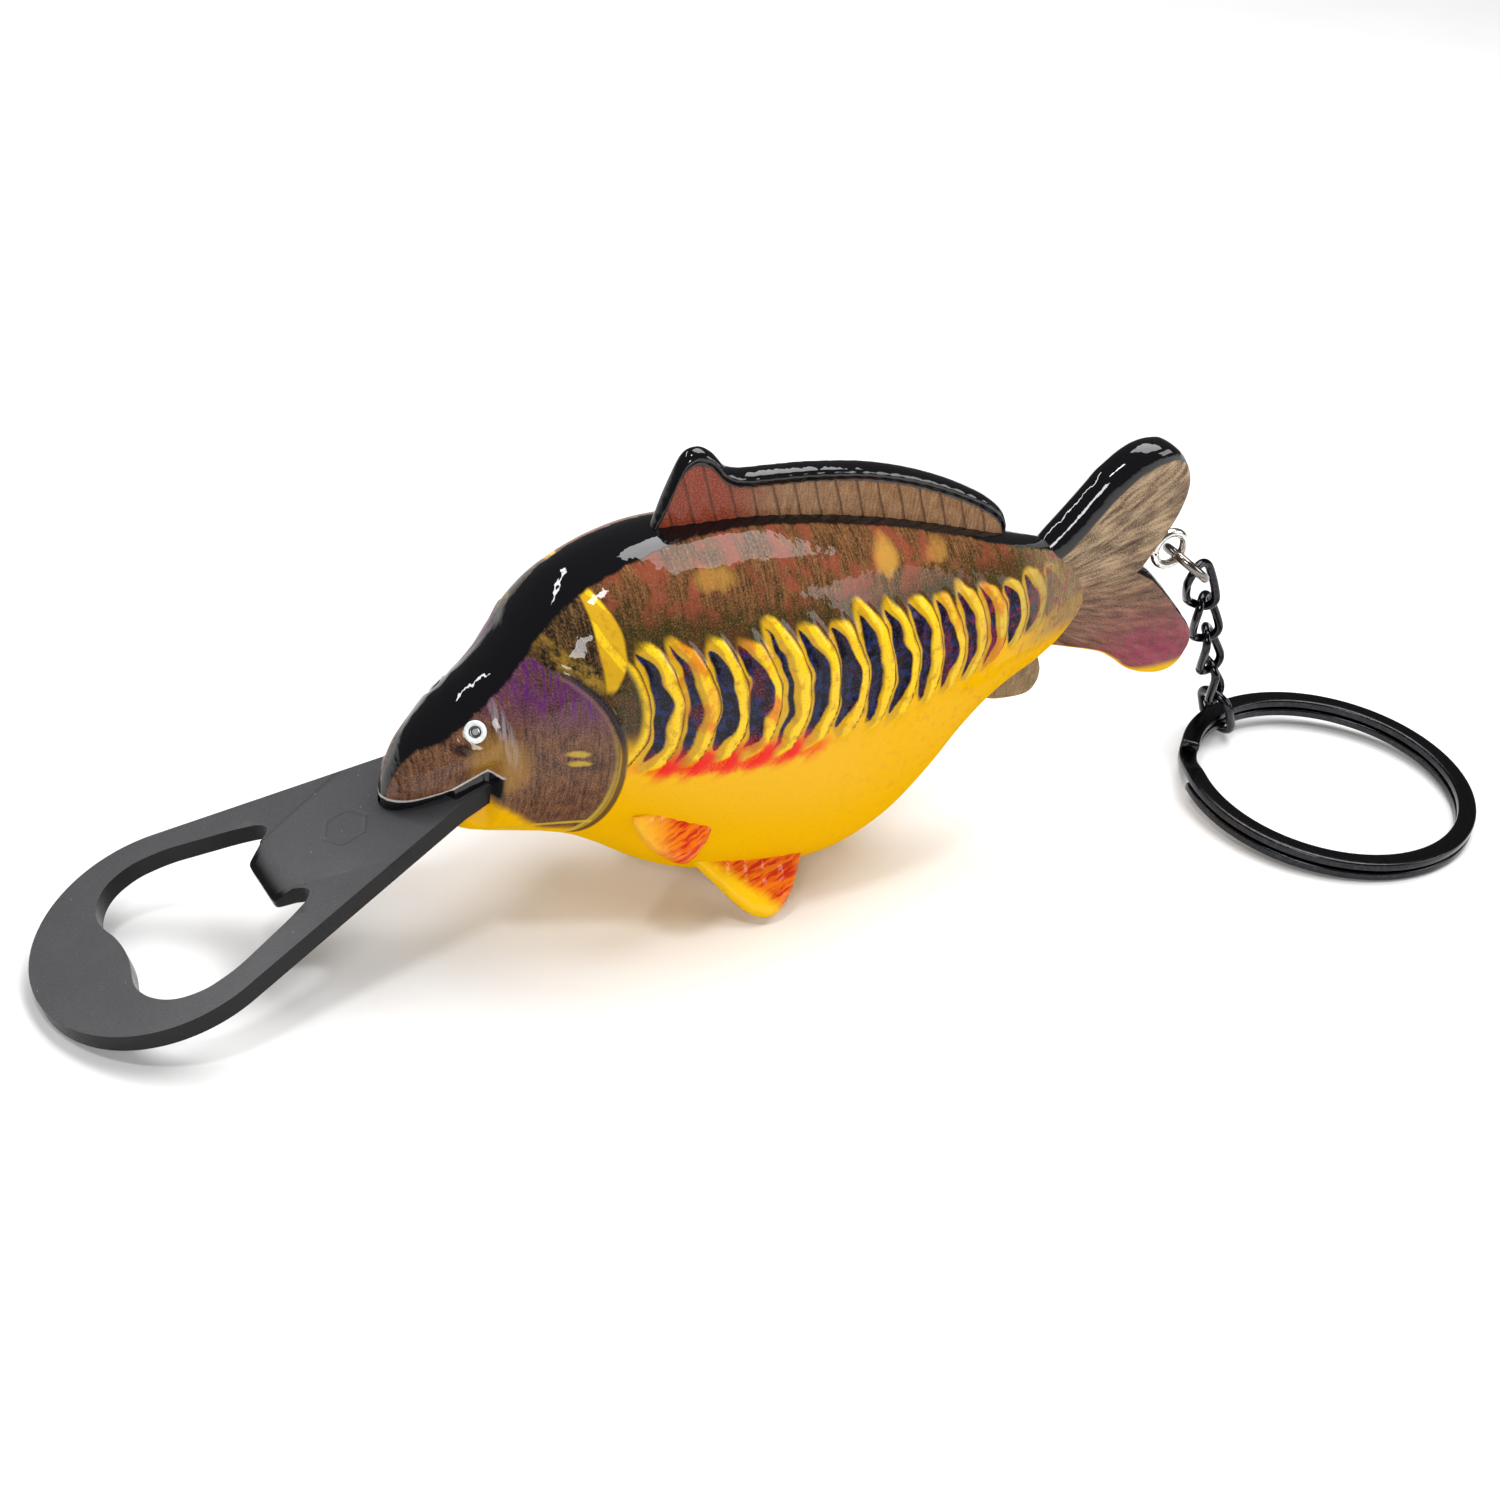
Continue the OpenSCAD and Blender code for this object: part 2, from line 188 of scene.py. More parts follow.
def relief(x, y, z):
    """How far the moulded details stand out of the trunk, in millimetres."""
    out = 0.0
    phase, v = scale_phase(x, z)
    if -0.4 < phase < 16 and abs(v) < 1.25:
        within = phase - math.floor(phase)
        ridge = smoothstep(0.40, 0.62, within) * (1 - smoothstep(0.9, 1.0, within))
        fade = (1 - smoothstep(0.85, 1.1, abs(v))) * smoothstep(-0.4, 0.2, phase)
        out += (0.55 - 0.3 * smoothstep(66, 96, x)) * ridge * fade
    gill = gill_distance(x, z)
    behind = smoothstep(24, 33, x)
    out -= 0.55 * behind * math.exp(-((gill - 1.035) / 0.035) ** 2) * (x > GILL_X)
    crease = (1 - smoothstep(36, 39, x)) * smoothstep(31, 33, x)
    out -= 0.6 * crease * math.exp(-((z - 33.6) / 0.5) ** 2)
    out += 0.5 * smoothstep(33.6, 34.6, z) * smoothstep(32.4, 33.4, x) * (1 - smoothstep(34, 44, x))
    brow = math.hypot((x - 29.2) / 2.6, (z - 28.4) / 0.9)
    out += 0.35 * (1 - smoothstep(0.2, 1.0, brow))
    nostril = math.hypot((x - 23.2) / 0.8, (z - 20.2) / 0.6)
    out += 0.25 * (1 - smoothstep(0.2, 1.0, nostril))
    socket = math.hypot(x - EYE_AT[0], z - EYE_AT[1])
    out -= 0.25 * math.exp(-((socket - 1.7) / 0.35) ** 2)
    return out


def trunk_point(x, angle, detail=True):
    """A point on the trunk at distance x and at an angle round it, 0 on the
    right flank and 90 degrees on the back."""
    back, belly, half = (through(TRUNK, x, c) for c in (1, 2, 3))
    middle = belly + WIDEST * (back - belly)
    reach = back - middle if math.sin(angle) > 0 else middle - belly
    fullness = 0.93 if math.sin(angle) > 0 else 0.97
    cos_a, sin_a = math.cos(angle), math.sin(angle)
    y = half * math.copysign(abs(cos_a) ** fullness, cos_a)
    z = middle + reach * math.copysign(abs(sin_a) ** fullness, sin_a)
    narrow = (1 - smoothstep(31.1, 31.9, x)) * (1 - smoothstep(lip_height(x) + 0.2, lip_height(x) + 2.6, z))
    y *= 1 - narrow * max(0.0, 1 - 4.7 / max(abs(y), 0.1))
    if detail:
        out = relief(x, y, z) * abs(cos_a) ** 0.5
        y += math.copysign(out, cos_a) * abs(cos_a)
        z += out * 0.3 * sin_a
    return x, y, z


NOSE_X, RUMP_X = TRUNK[0][0], TRUNK[-1][0]


def trunk_surface(u, v):
    """The grid's point on the trunk, with more rows near the nose."""
    x = NOSE_X + (RUMP_X - NOSE_X) * (0.35 * u * u + 0.65 * u)
    return place(*trunk_point(x, 2 * math.pi * v))


# %% [markdown]
# The trunk is fine enough to carry its own relief: the row of raised scales,
# the edge of the gill cover, the crease behind the head, the brow over the
# eye and the nostril are moved out of the surface rather than painted on.

# %% Build the trunk
bm = bmesh.new()
wrap(bm, 300, 200, trunk_surface)
trunk = finish_mesh(bm, "carp_trunk")
print("trunk faces", len(trunk.data.polygons))

# %% [markdown]
# Fins are thick and soft-edged, as cast resin is. Each is a row of upright
# sections along its own axis, like the trunk, but flat: a section keeps its
# full thickness over most of its height and rounds off at the two edges. The
# dorsal fin's upper edge is a thicker bead, and its side is ribbed.

# %% Helper for fins
def blade(bm, rows, thickness, turn=0.0, origin=(0.0, 0.0), bead=0.0, ribs=0, move=None):
    """Adds a fin in the XZ plane from rows of (distance, upper edge, lower edge)
    measured in a frame at origin, turned by turn. bead is the extra share of
    thickness at the upper edge. move takes a finished point to its place."""
    first, last = rows[0][0], rows[-1][0]
    cos_t, sin_t = math.cos(turn), math.sin(turn)
    rim_layer = bm.verts.layers.float.get("rim") or bm.verts.layers.float.new("rim")
    rims = {}

    def surface(u, v):
        spread = 0.5 - 0.5 * math.cos(math.pi * u)
        along_axis = first + (last - first) * spread
        high, low = (through(rows, along_axis, c) for c in (1, 2))
        angle = 2 * math.pi * v
        w = math.copysign(abs(math.sin(angle)) ** 0.7, math.sin(angle))
        across = (high + low) / 2 + w * max(high - low, 0.0) / 2
        ends = max(0.0, 1 - abs(2 * spread - 1) ** 6) ** 0.5
        facing = math.cos(angle)
        side = math.copysign(max(0.0, 1 - abs(w) ** 7) ** 0.5, facing) if abs(facing) > 1e-6 else 0.0
        depth = high - across
        at_bead = bead * (1 - smoothstep(0.9, 1.3, depth))
        rib = 0.06 * math.cos(2 * math.pi * ribs * spread) * (1 - at_bead) if ribs else 0.0
        y = side * ends * thickness / 2 * (1 - bead + at_bead + rib)
        x = origin[0] + along_axis * cos_t - across * sin_t
        z = origin[1] + along_axis * sin_t + across * cos_t
        point = Vector((x, y, z))
        spot = place(*(move(point) if move else point))
        rims[tuple(round(c, 7) for c in spot)] = max(0.0, 1 - depth / 2.6)
        return spot

    wrap(bm, 120, 48, surface)
    for vert in bm.verts:
        rim = rims.get(tuple(round(c, 7) for c in vert.co))
        if rim is not None:
            vert[rim_layer] = rim


# %% [markdown]
# The tail has a long upper lobe and a blunter lower lobe. The dorsal fin has
# a high first spine and then runs low along the back. The anal fin is small
# and sits on the middle plane under the tail.

# %% Tail, dorsal fin and anal fin
UPPER_LOBE = [(0, 3.6, -6.5), (0.5, 4.0, -7.0), (5.6, 5.0, -8.4), (9.6, 5.9, -8.2), (11.9, 6.4, -7.4),
              (16.2, 6.2, -5.5), (19.2, 4.5, -3.2), (20.2, 2.6, -1.6), (20.6, 0.5, 0.3)]
LOWER_LOBE = [(-1.4, 3.4, -4.2), (-0.6, 4.0, -4.2), (4.5, 7.8, -3.6), (9.5, 7.8, -3.1), (12.5, 6.8, -3.5),
              (15.1, 5.6, -4.1), (18.0, 4.2, -3.8), (20.2, 2.9, -2.8), (21.5, 1.2, -1.2), (21.95, 0.1, -0.1)]
DORSAL = [(48.6, 42.2, 41.6), (49.4, 44.6, 41.0), (50.6, 48.2, 41.0), (51.8, 51.2, 41.0), (53.2, 52.0, 41.0),
          (54.8, 51.4, 41.0), (56.6, 49.6, 41.0), (58.5, 48.9, 41.0), (62.0, 48.7, 41.0), (67.0, 48.4, 41.0),
          (74.0, 47.4, 39.5), (81.0, 45.3, 38.0), (87.5, 42.3, 36.5), (91.0, 39.7, 35.5), (92.2, 37.4, 36.6)]
ANAL = [(92.0, 18.3, 17.6), (93.2, 20.0, 16.0), (96.5, 21.5, 15.4), (99.0, 21.0, 15.7), (100.0, 19.0, 17.0),
        (100.3, 17.9, 17.5)]
bm = bmesh.new()
blade(bm, UPPER_LOBE, 4.4, math.atan2(0.6, 0.8), (98, 30))
blade(bm, LOWER_LOBE, 4.2, -math.atan2(0.39, 0.92), (100, 26))
blade(bm, DORSAL, 3.0, bead=0.38, ribs=24)
blade(bm, ANAL, 2.0)
middle_fins = finish_mesh(bm, "tail_and_middle_fins")
print("fin faces", len(middle_fins.data.polygons))

# %% [markdown]
# The paired fins lie along the flanks. The pectoral fins are nearly flush
# with the skin behind the gill; the pelvic fins splay outwards and their tips
# are two of the opener's three feet.

# %% Paired fins
PECTORAL = [(-4.4, 2.6, 1.9), (-3.2, 2.8, -0.4), (-1.2, 3.0, -2.3), (1.2, 3.2, -3.2), (3.2, 2.9, -1.8),
            (4.4, 2.2, -0.2), (4.8, 1.3, 0.7)]
PELVIC = [(-6.8, 4.4, 3.6), (-5.4, 5.6, 2.2), (-3.2, 5.8, -0.4), (-0.8, 6.0, -3.2), (1.2, 6.0, -4.6),
          (3.2, 5.8, -4.6), (5.0, 5.4, -2.8), (6.6, 4.8, 0.4), (7.4, 3.8, 2.6)]
bm = bmesh.new()
for side in (-1, 1):
    tilt = (Matrix.Rotation(math.radians(24 * side), 3, "X")
            @ Matrix.Rotation(math.radians(-4 * side), 3, "Z"))
    splay = Matrix.Rotation(math.radians(28 * side), 3, "X")
    blade(bm, PECTORAL, 1.8, ribs=7,
          move=lambda p, turn=tilt, s=side: turn @ p + Vector((49.4, s * 10.9, 14.3)))
    blade(bm, PELVIC, 2.2, ribs=7,
          move=lambda p, turn=splay, s=side: turn @ p + Vector((60.0, s * 8.6, 5.2)))
paired_fins = finish_mesh(bm, "paired_fins")

# %% [markdown]
# Each eye is a raised white ring round a dark domed pupil. Both are turned
# shapes, so a short profile is spun round the eye's own axis.

# %% Eyes
def skin_at(x, z, side):
    """The skin's point and outward direction nearest a height z at distance x."""
    best = min((abs(trunk_point(x, math.radians(a), False)[2] - z), a) for a in range(-60, 90))[1]
    p = Vector(trunk_point(x, math.radians(best), False))
    q = Vector(trunk_point(x, math.radians(best + 3), False))
    r = Vector(trunk_point(x + 0.6, math.radians(best), False))
    outward = (r - p).cross(q - p).normalized()
    if outward.y < 0:
        outward = -outward
    return Vector((p.x, side * p.y, p.z)), Vector((outward.x, side * outward.y, outward.z))


def turned(bm, profile, steps=40):
    """Spins a profile of (radius, height) round Z and welds it."""
    verts = [bm.verts.new((r, 0, h)) for r, h in profile]
    edges = [bm.edges.new(pair) for pair in zip(verts, verts[1:])]
    made = bmesh.ops.spin(bm, geom=verts + edges, cent=(0, 0, 0), axis=(0, 0, 1),
                          angle=2 * math.pi, steps=steps, use_merge=True)
    new = list({v for v in bm.verts if v.is_valid})
    bmesh.ops.remove_doubles(bm, verts=new, dist=0.002)


EYE_PROFILE = [(0, 0.30), (0.12, 0.29), (0.22, 0.24), (0.40, 0.22), (0.52, 0.20), (0.60, 0.26), (0.74, 0.40),
               (0.92, 0.42), (1.08, 0.34), (1.18, 0.16), (1.22, -0.3)]
eyes = []
for side, name in ((-1, "left_eye"), (1, "right_eye")):
    bm = bmesh.new()
    turned(bm, EYE_PROFILE)
    spot, outward = skin_at(*EYE_AT, side)
    turn = outward.to_track_quat("Z", "Y").to_matrix()
    for vert in bm.verts:
        vert.co = place(*(spot - outward * 0.15 + turn @ vert.co))
    eyes.append(finish_mesh(bm, name))
    print(name, [round(c, 1) for c in spot])

# %% [markdown]
# The plate is stamped sheet: an outline and an opening cut through, edges
# slightly rounded by tumbling. Two closed curves with the same number of
# points are bridged into one flat ring, which is then thickened and bevelled.
# Points are paired along rays from the middle, so no face folds over. A cut
# across the root of the tooth lets its top slope down to the hooking edge.

# %% Plate
def closed_curve(points, per_span=6):
    """A smooth closed curve through the points, as a list of pairs."""
    count = len(points)
    out = []
    for i in range(count):
        a, b, c, d = (points[(i + k - 1) % count] for k in range(4))
        for step in range(per_span):
            t = step / per_span
            out.append(tuple(
                0.5 * (2 * q + (r - p) * t + (2 * p - 5 * q + 4 * r - s) * t * t
                       + (3 * q - p - 3 * r + s) * t ** 3)
                for p, q, r, s in zip(a, b, c, d)))
    return out


plate_turn = Matrix.Rotation(-PLATE_SLOPE, 3, "Y")


def on_plate(vert):
    """Moves a vertex drawn in the plate's plane to its place."""
    vert.co = place(*(plate_turn @ vert.co + Vector((0, 0, plate_height))))


TAPER = math.radians(16)
TANG_HALF = 5.3
TANG_END = 38.0


def outer_reach(angle):
    """Distance from the round end's middle to the plate's outline at an angle."""
    a = abs(angle)
    if a > math.pi / 2 - TAPER:
        return END_RADIUS
    slant = END_RADIUS / (math.sin(TAPER) * math.cos(a) + math.cos(TAPER) * math.sin(a))
    if slant * math.sin(a) > TANG_HALF:
        return slant
    return min(TANG_HALF / max(math.sin(a), 0.001), TANG_END / math.cos(a))


OPENING_HALF = [(-4.3, 0), (-4.5, 2.2), (-5.0, 4.2), (-5.15, 5.8), (-4.6, 7.6), (-3.4, 9.2), (-1.8, 10.2),
                (0.3, 10.7), (2.2, 10.6), (4.2, 10.2), (6.2, 9.5), (8.2, 8.75), (10.2, 8.0), (12.0, 7.2),
                (13.0, 6.6), (13.55, 5.8), (13.3, 5.0), (12.5, 4.4), (12.0, 4.1), (11.1, 3.75),
                (10.4, 3.4), (10.2, 2.8), (10.2, 1.4), (10.2, 0)]
inner = closed_curve(OPENING_HALF + [(u, -v) for u, v in reversed(OPENING_HALF[1:-1])], 6)
bm = bmesh.new()
loops = []
for reach in (outer_reach, None):
    made = bmesh.ops.create_circle(bm, segments=len(inner), radius=1)
    for vert, (u, v) in zip(made["verts"], inner):
        angle = math.atan2(v, u)
        ray = Vector((math.cos(angle), math.sin(angle), 0))
        vert.co = ray * reach(angle) if reach else Vector((u, v, 0))
    loops += list({e for vert in made["verts"] for e in vert.link_edges})
bmesh.ops.bridge_loops(bm, edges=loops)
bmesh.ops.bisect_plane(bm, geom=bm.verts[:] + bm.edges[:] + bm.faces[:], dist=0.001,
                       plane_co=(12.6, 0, 0), plane_no=(1, 0, 0))
made = bmesh.ops.extrude_face_region(bm, geom=bm.faces[:])
for vert in [g for g in made["geom"] if isinstance(g, bmesh.types.BMVert)]:
    vert.co.z -= PLATE_THICK
for vert in bm.verts:
    if vert.co.z > -0.01 and abs(vert.co.y) < 4.2 and 9 < vert.co.x < 12.6:
        vert.co.z = -1.2 * (12.6 - vert.co.x) / 2.4
bmesh.ops.recalc_face_normals(bm, faces=bm.faces)
rim = [e for e in bm.edges if len(e.link_faces) == 2 and e.calc_face_angle() > math.radians(50)]
bmesh.ops.bevel(bm, geom=rim, offset=0.26, segments=3, profile=0.5, affect="EDGES", material=-1,
                clamp_overlap=True)
for vert in bm.verts:
    on_plate(vert)
plate = finish_mesh(bm, "opener_plate_steel")
plate.modifiers.new("even_shading", "WEIGHTED_NORMAL")
print("plate faces", len(plate.data.polygons))

# %% [markdown]
# The chain hangs from a small screw eye in the tail fork. The joints of the
# model say where each link touches the next one, so the links are laid out
# between those points instead of being measured again.

# %% Chain layout
joint_spot = {j["name"]: Vector(j["pos_m"]) for j in record["behaviour"]["joints"]}
contacts = [joint_spot[f"link_{i}_swing"] for i in range(1, 5)] + [joint_spot["end_link_swing"]]
chain_dir = (contacts[-1] - contacts[1]).normalized()
print("chain direction", [round(c, 3) for c in chain_dir])


def tube(bm, path, radius, sides=20, closed=True):
    """Round wire along a list of points. The section is carried along the
    path without twisting and welded where the wire closes on itself."""
    count = len(path)
    ups = []
    last = None
    for i in range(count):
        a = path[i - 1] if closed or i else path[i]
        b = path[(i + 1) % count] if closed or i < count - 1 else path[i]
        ahead = (b - a).normalized()
        guess = last if last is not None else ahead.orthogonal()
        up = (guess - ahead * guess.dot(ahead)).normalized()
        ups.append((ahead, up))
        last = up
    if closed:
        ahead, up = ups[0]
        end = (last - ahead * last.dot(ahead)).normalized()
        slip = math.atan2(ahead.dot(up.cross(end)), up.dot(end))
    else:
        slip = 0

    def surface(u, v):
        i = round(u * (count if closed else count - 1)) % (count if closed else count + 1)
        ahead, up = ups[min(i, count - 1)]
        turn = 2 * math.pi * v - slip * (round(u * count) / count if closed else 0)
        side = ahead.cross(up)
        return path[min(i, count - 1)] + (up * math.cos(turn) + side * math.sin(turn)) * radius

    return wrap(bm, count if closed else count - 1, sides, surface, weld=0.0005)


def oval(half_length, half_width, twist, steps=14, straight=8):
    """Closed path of a link along X, twisted from end to end."""
    run = half_length - half_width
    flat = []
    for end in (1, -1):
        for i in range(steps + 1):
            a = math.pi * (i / steps - 0.5)
            flat.append((end * (run + half_width * math.cos(a)), end * half_width * math.sin(a)))
        for i in range(1, straight):
            t = i / straight
            flat.append((end * (run - 2 * run * t), end * half_width))
    out = []
    for x, y in flat:
        a = twist / 2 * x / half_length
        out.append(Vector((x, y * math.cos(a), y * math.sin(a))))
    return out


def along(axis, turn):
    """Axes of a link: X along the chain, Y turned from the horizontal."""
    side = Vector((0, 0, 1)).cross(axis).normalized()
    top = axis.cross(side)
    y_axis = side * math.cos(turn) + top * math.sin(turn)
    return Matrix((axis, y_axis, axis.cross(y_axis))).transposed()


# %% [markdown]
# A curb link is an oval of round wire with a twist, so that both of its ends
# cross the neighbouring link at a right angle and the chain lies flat. Here
# each link is turned a little further than the one before. The untwisted end
# link's box gives its middle, and the others are counted back from it, since a
# twisted link's middle is not the middle of its box.

# %% Links
SLIM = 0.94  # plated wire is drawn a little thinner, so turning links slide clear of each other
LINK = {"half_length": 3.6, "half_width": 1.65, "wire": 0.53, "twist": math.radians(69)}
END = {"half_length": 3.5, "half_width": 2.1, "wire": 0.55}
PLAY = 0.06
node_low, node_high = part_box("end_link")
end_middle = (node_low + node_high) / 2
pitch = 2 * (LINK["half_length"] - LINK["wire"]) - PLAY
last_gap = END["half_length"] + LINK["half_length"] - END["wire"] - LINK["wire"] - PLAY
links = []
for i in range(4):
    middle = end_middle - chain_dir * (last_gap + (3 - i) * pitch) * MM
    turn = math.pi / 2 + LINK["twist"] / 2 + i * (LINK["twist"] - math.pi / 2)
    axes = along(chain_dir, turn)
    bm = bmesh.new()
    path = [middle + axes @ p * MM for p in oval(LINK["half_length"], LINK["half_width"], LINK["twist"])]
    tube(bm, path, LINK["wire"] * SLIM * MM)
    links.append(finish_mesh(bm, f"curb_link_{i + 1}"))
axes = along(chain_dir, 4 * LINK["twist"] - 1.5 * math.pi)
bm = bmesh.new()
path = [end_middle + axes @ p * MM for p in oval(END["half_length"], END["half_width"], 0)]
tube(bm, path, END["wire"] * SLIM * MM)
end_link = finish_mesh(bm, "large_end_link")
print("links", len(links), "and one end link")

# %% [markdown]
# The jump ring is bent from wire and its ends only meet, so a hairline gap
# is left. The screw eye is a loop whose shank runs into the tail.

# %% Jump ring and screw eye
low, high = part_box("jump_ring")
middle = (low + high) / 2
JUMP = {"radius": 2.7, "wire": 0.53, "pitch": 0.05, "slope": math.radians(38.5)}
slope = JUMP["slope"]
jump_axes = Matrix(((math.cos(slope), 0, -math.sin(slope)), (0, 1, 0),
                    (math.sin(slope), 0, math.cos(slope)))).transposed()
path = []
for i in range(61):
    a = math.radians(96 + 358 * i / 60)
    x, y = JUMP["radius"] * math.cos(a), JUMP["radius"] * math.sin(a)
    spot = Vector((x, y, JUMP["pitch"] * (i / 60 - 0.5)))
    path.append(middle + jump_axes @ spot * MM)
bm = bmesh.new()
tube(bm, path, JUMP["wire"] * MM, closed=False)
bmesh.ops.holes_fill(bm, edges=[e for e in bm.edges if e.is_boundary])
jump_ring = finish_mesh(bm, "open_jump_ring")
SCREW = {"loop": 2.0, "wire": 0.5, "shank": 7.5}
low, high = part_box("tail_screw_eye")
loop_reach = (SCREW["loop"] + SCREW["wire"]) * MM
eye_middle = Vector((high.x - loop_reach, (low.y + high.y) / 2, (low.z + high.z) / 2))
path = []
for i in range(50):
    a = math.radians(176 - 350 * i / 49)
    path.append(eye_middle + Vector((math.cos(a), 0, math.sin(a))) * SCREW["loop"] * MM)
path = [eye_middle + Vector((-SCREW["shank"] + 0.5 * k, 0, 0.1)) * MM for k in range(11)] + path
bm = bmesh.new()
tube(bm, path, SCREW["wire"] * MM, closed=False)
bmesh.ops.holes_fill(bm, edges=[e for e in bm.edges if e.is_boundary])
screw_eye = finish_mesh(bm, "screw_eye")

# %% [markdown]
# A split ring is one flat wire wound twice. It lies in the lower level for a
# turn, steps up over a short stretch and lies on itself for a second turn.

# %% Key ring
ring_mount = next(m for m in record["mounts"] if m["name"] == "key_ring")
ring_middle = Vector(ring_mount["pos_m"])
ring_up = Vector(ring_mount["axis"]).normalized()
ring_x = (Vector((1, 0, 0)) - ring_up * ring_up.x).normalized()
ring_y = ring_up.cross(ring_x)
COIL = {"width": 2.3, "height": 1.15, "radius": 16.35, "level": 0.625}
STEP_AT, STEP_HALF = math.radians(152), math.radians(11)


def coil_section(v):
    """A flat wire's section with soft edges: across and up, in millimetres."""
    a = 2 * math.pi * v
    power = 0.42
    across = math.copysign(abs(math.cos(a)) ** power, math.cos(a)) * COIL["width"] / 2 * SLIM
    up = math.copysign(abs(math.sin(a)) ** power, math.sin(a)) * COIL["height"] / 2 * SLIM
    return across, up


def coil_surface(u, v):
    """Two turns of flat wire with one step between them."""
    first = STEP_AT + STEP_HALF
    total = 4 * math.pi - 2 * STEP_HALF
    a = first + total * u
    climb = smoothstep(first + 2 * math.pi - 2 * STEP_HALF, first + 2 * math.pi, a)
    level = COIL["level"] * (2 * climb - 1)
    across, up = coil_section(v)
    radius = COIL["radius"] + across
    return ring_middle + (ring_x * math.cos(a) * radius + ring_y * math.sin(a) * radius
                          + ring_up * (level + up)) * MM


bm = bmesh.new()
wrap(bm, 360, 40, coil_surface, weld=0.0005)
bmesh.ops.holes_fill(bm, edges=[e for e in bm.edges if e.is_boundary])
split_ring = finish_mesh(bm, "double_coil_ring")
print("ring faces", len(split_ring.data.polygons))

# %% [markdown]
# Materials. The skin is a print laid on from the side, so its picture is a
# function of how far along and how high a point is. Where the casting faces
# up the print runs out into black lacquer, and where it faces down into
# yellow. A thick clear coat covers everything.

# %% Node helpers
class Field:
    """A value or colour that changes over a surface. Sums of fields are written
    as sums, and each one becomes a Math node."""

    def __init__(self, nodes, socket):
        self.nodes = nodes
        self.socket = socket

    def __add__(self, other):
        return self.nodes.math("ADD", self, other)

    def __sub__(self, other):
        return self.nodes.math("SUBTRACT", self, other)

    def __rsub__(self, other):
        return self.nodes.math("SUBTRACT", other, self)

    def __mul__(self, other):
        return self.nodes.math("MULTIPLY", self, other)

    def __truediv__(self, other):
        return self.nodes.math("DIVIDE", self, other)

    def __abs__(self):
        return self.nodes.math("ABSOLUTE", self)

    __radd__ = __add__
    __rmul__ = __mul__


class Nodes:
    """A short way to write node trees."""

    def __init__(self, tree):
        self.tree = tree

    def add(self, kind, **values):
        node = self.tree.nodes.new(kind)
        for key, value in values.items():
            setattr(node, key, value)
        return node

    def link(self, value, socket):
        if isinstance(value, Field):
            self.tree.links.new(value.socket, socket)
        elif socket.type == "RGBA":
            socket.default_value = (*value, 1.0)
        else:
            socket.default_value = value

    def fill(self, node, values):
        """Links or sets a node's inputs by name."""
        for name, value in values.items():
            self.link(value, node.inputs[name])

    def result(self, node, values, output=0):
        """Fills a node's inputs in order and gives one of its outputs."""
        for value, socket in zip(values, node.inputs):
            self.link(value, socket)
        return Field(self, node.outputs[output])

    def math(self, op, a, b=0.0, clamp=False):
        return self.result(self.add("ShaderNodeMath", operation=op, use_clamp=clamp), (a, b))

    def ramp(self, value, low, high, to_low=0.0, to_high=1.0):
        node = self.add("ShaderNodeMapRange", interpolation_type="SMOOTHSTEP")
        return self.result(node, (value, low, high, to_low, to_high))

    def fade(self, value, low, high):
        """1 below low and 0 above high."""
        return self.ramp(value, low, high, 1.0, 0.0)

    def smoothstep(self, low, high, value):
        return self.ramp(value, low, high)

    def mix(self, factor, a, b):
        node = self.add("ShaderNodeMix", data_type="RGBA")
        for value, index in ((factor, 0), (a, 6), (b, 7)):
            self.link(value, node.inputs[index])
        return Field(self, node.outputs[2])

    def noise(self, vector, scale, detail=3.0, rough=0.5):
        node = self.add("ShaderNodeTexNoise")
        self.fill(node, {"Vector": vector, "Scale": scale, "Detail": detail, "Roughness": rough})
        return Field(self, node.outputs[0])

    def chance(self, number):
        """A random value for each whole number."""
        node = self.add("ShaderNodeTexWhiteNoise", noise_dimensions="1D")
        self.link(number, node.inputs["W"])
        return Field(self, node.outputs["Value"])

    def vector(self, x, y, z):
        return self.result(self.add("ShaderNodeCombineXYZ"), (x, y, z))

    def times(self, vector, factors):
        return self.result(self.add("ShaderNodeVectorMath", operation="MULTIPLY"), (vector, factors))

    def split(self, vector):
        node = self.add("ShaderNodeSeparateXYZ")
        self.link(vector, node.inputs[0])
        return [Field(self, socket) for socket in node.outputs]

    def coordinates(self, kind):
        return Field(self, self.add("ShaderNodeTexCoord").outputs[kind])

    def spot(self, x, z, at, size, edge):
        """1 inside an oval at (x, z) of half sizes size, fading over its edge."""
        dx = (x - at[0]) / size[0]
        dz = (z - at[1]) / size[1]
        return self.fade(dx * dx + dz * dz, 1 - edge, 1 + edge)

    def group(self, tree, *values):
        """Places a node group and gives its outputs."""
        node = self.add("ShaderNodeGroup", node_tree=tree)
        self.result(node, values)
        return [Field(self, socket) for socket in node.outputs]

    def bump(self, height, strength, distance):
        node = self.add("ShaderNodeBump")
        self.fill(node, {"Height": height, "Strength": strength, "Distance": distance})
        return Field(self, node.outputs[0])


def node_group(name, inputs, outputs, build):
    """A node group with named sockets. build gets its nodes and inputs and
    gives back its outputs in order."""
    tree = bpy.data.node_groups.new(name, "ShaderNodeTree")
    for in_out, sockets in (("INPUT", inputs), ("OUTPUT", outputs)):
        for title, kind in sockets:
            tree.interface.new_socket(title, in_out=in_out, socket_type="NodeSocket" + kind)
    nodes = Nodes(tree)
    entry = nodes.add("NodeGroupInput")
    made = build(nodes, *(Field(nodes, socket) for _, socket in zip(inputs, entry.outputs)))
    leave = nodes.add("NodeGroupOutput")
    for value, socket in zip(made, leave.inputs):
        nodes.link(value, socket)
    return tree


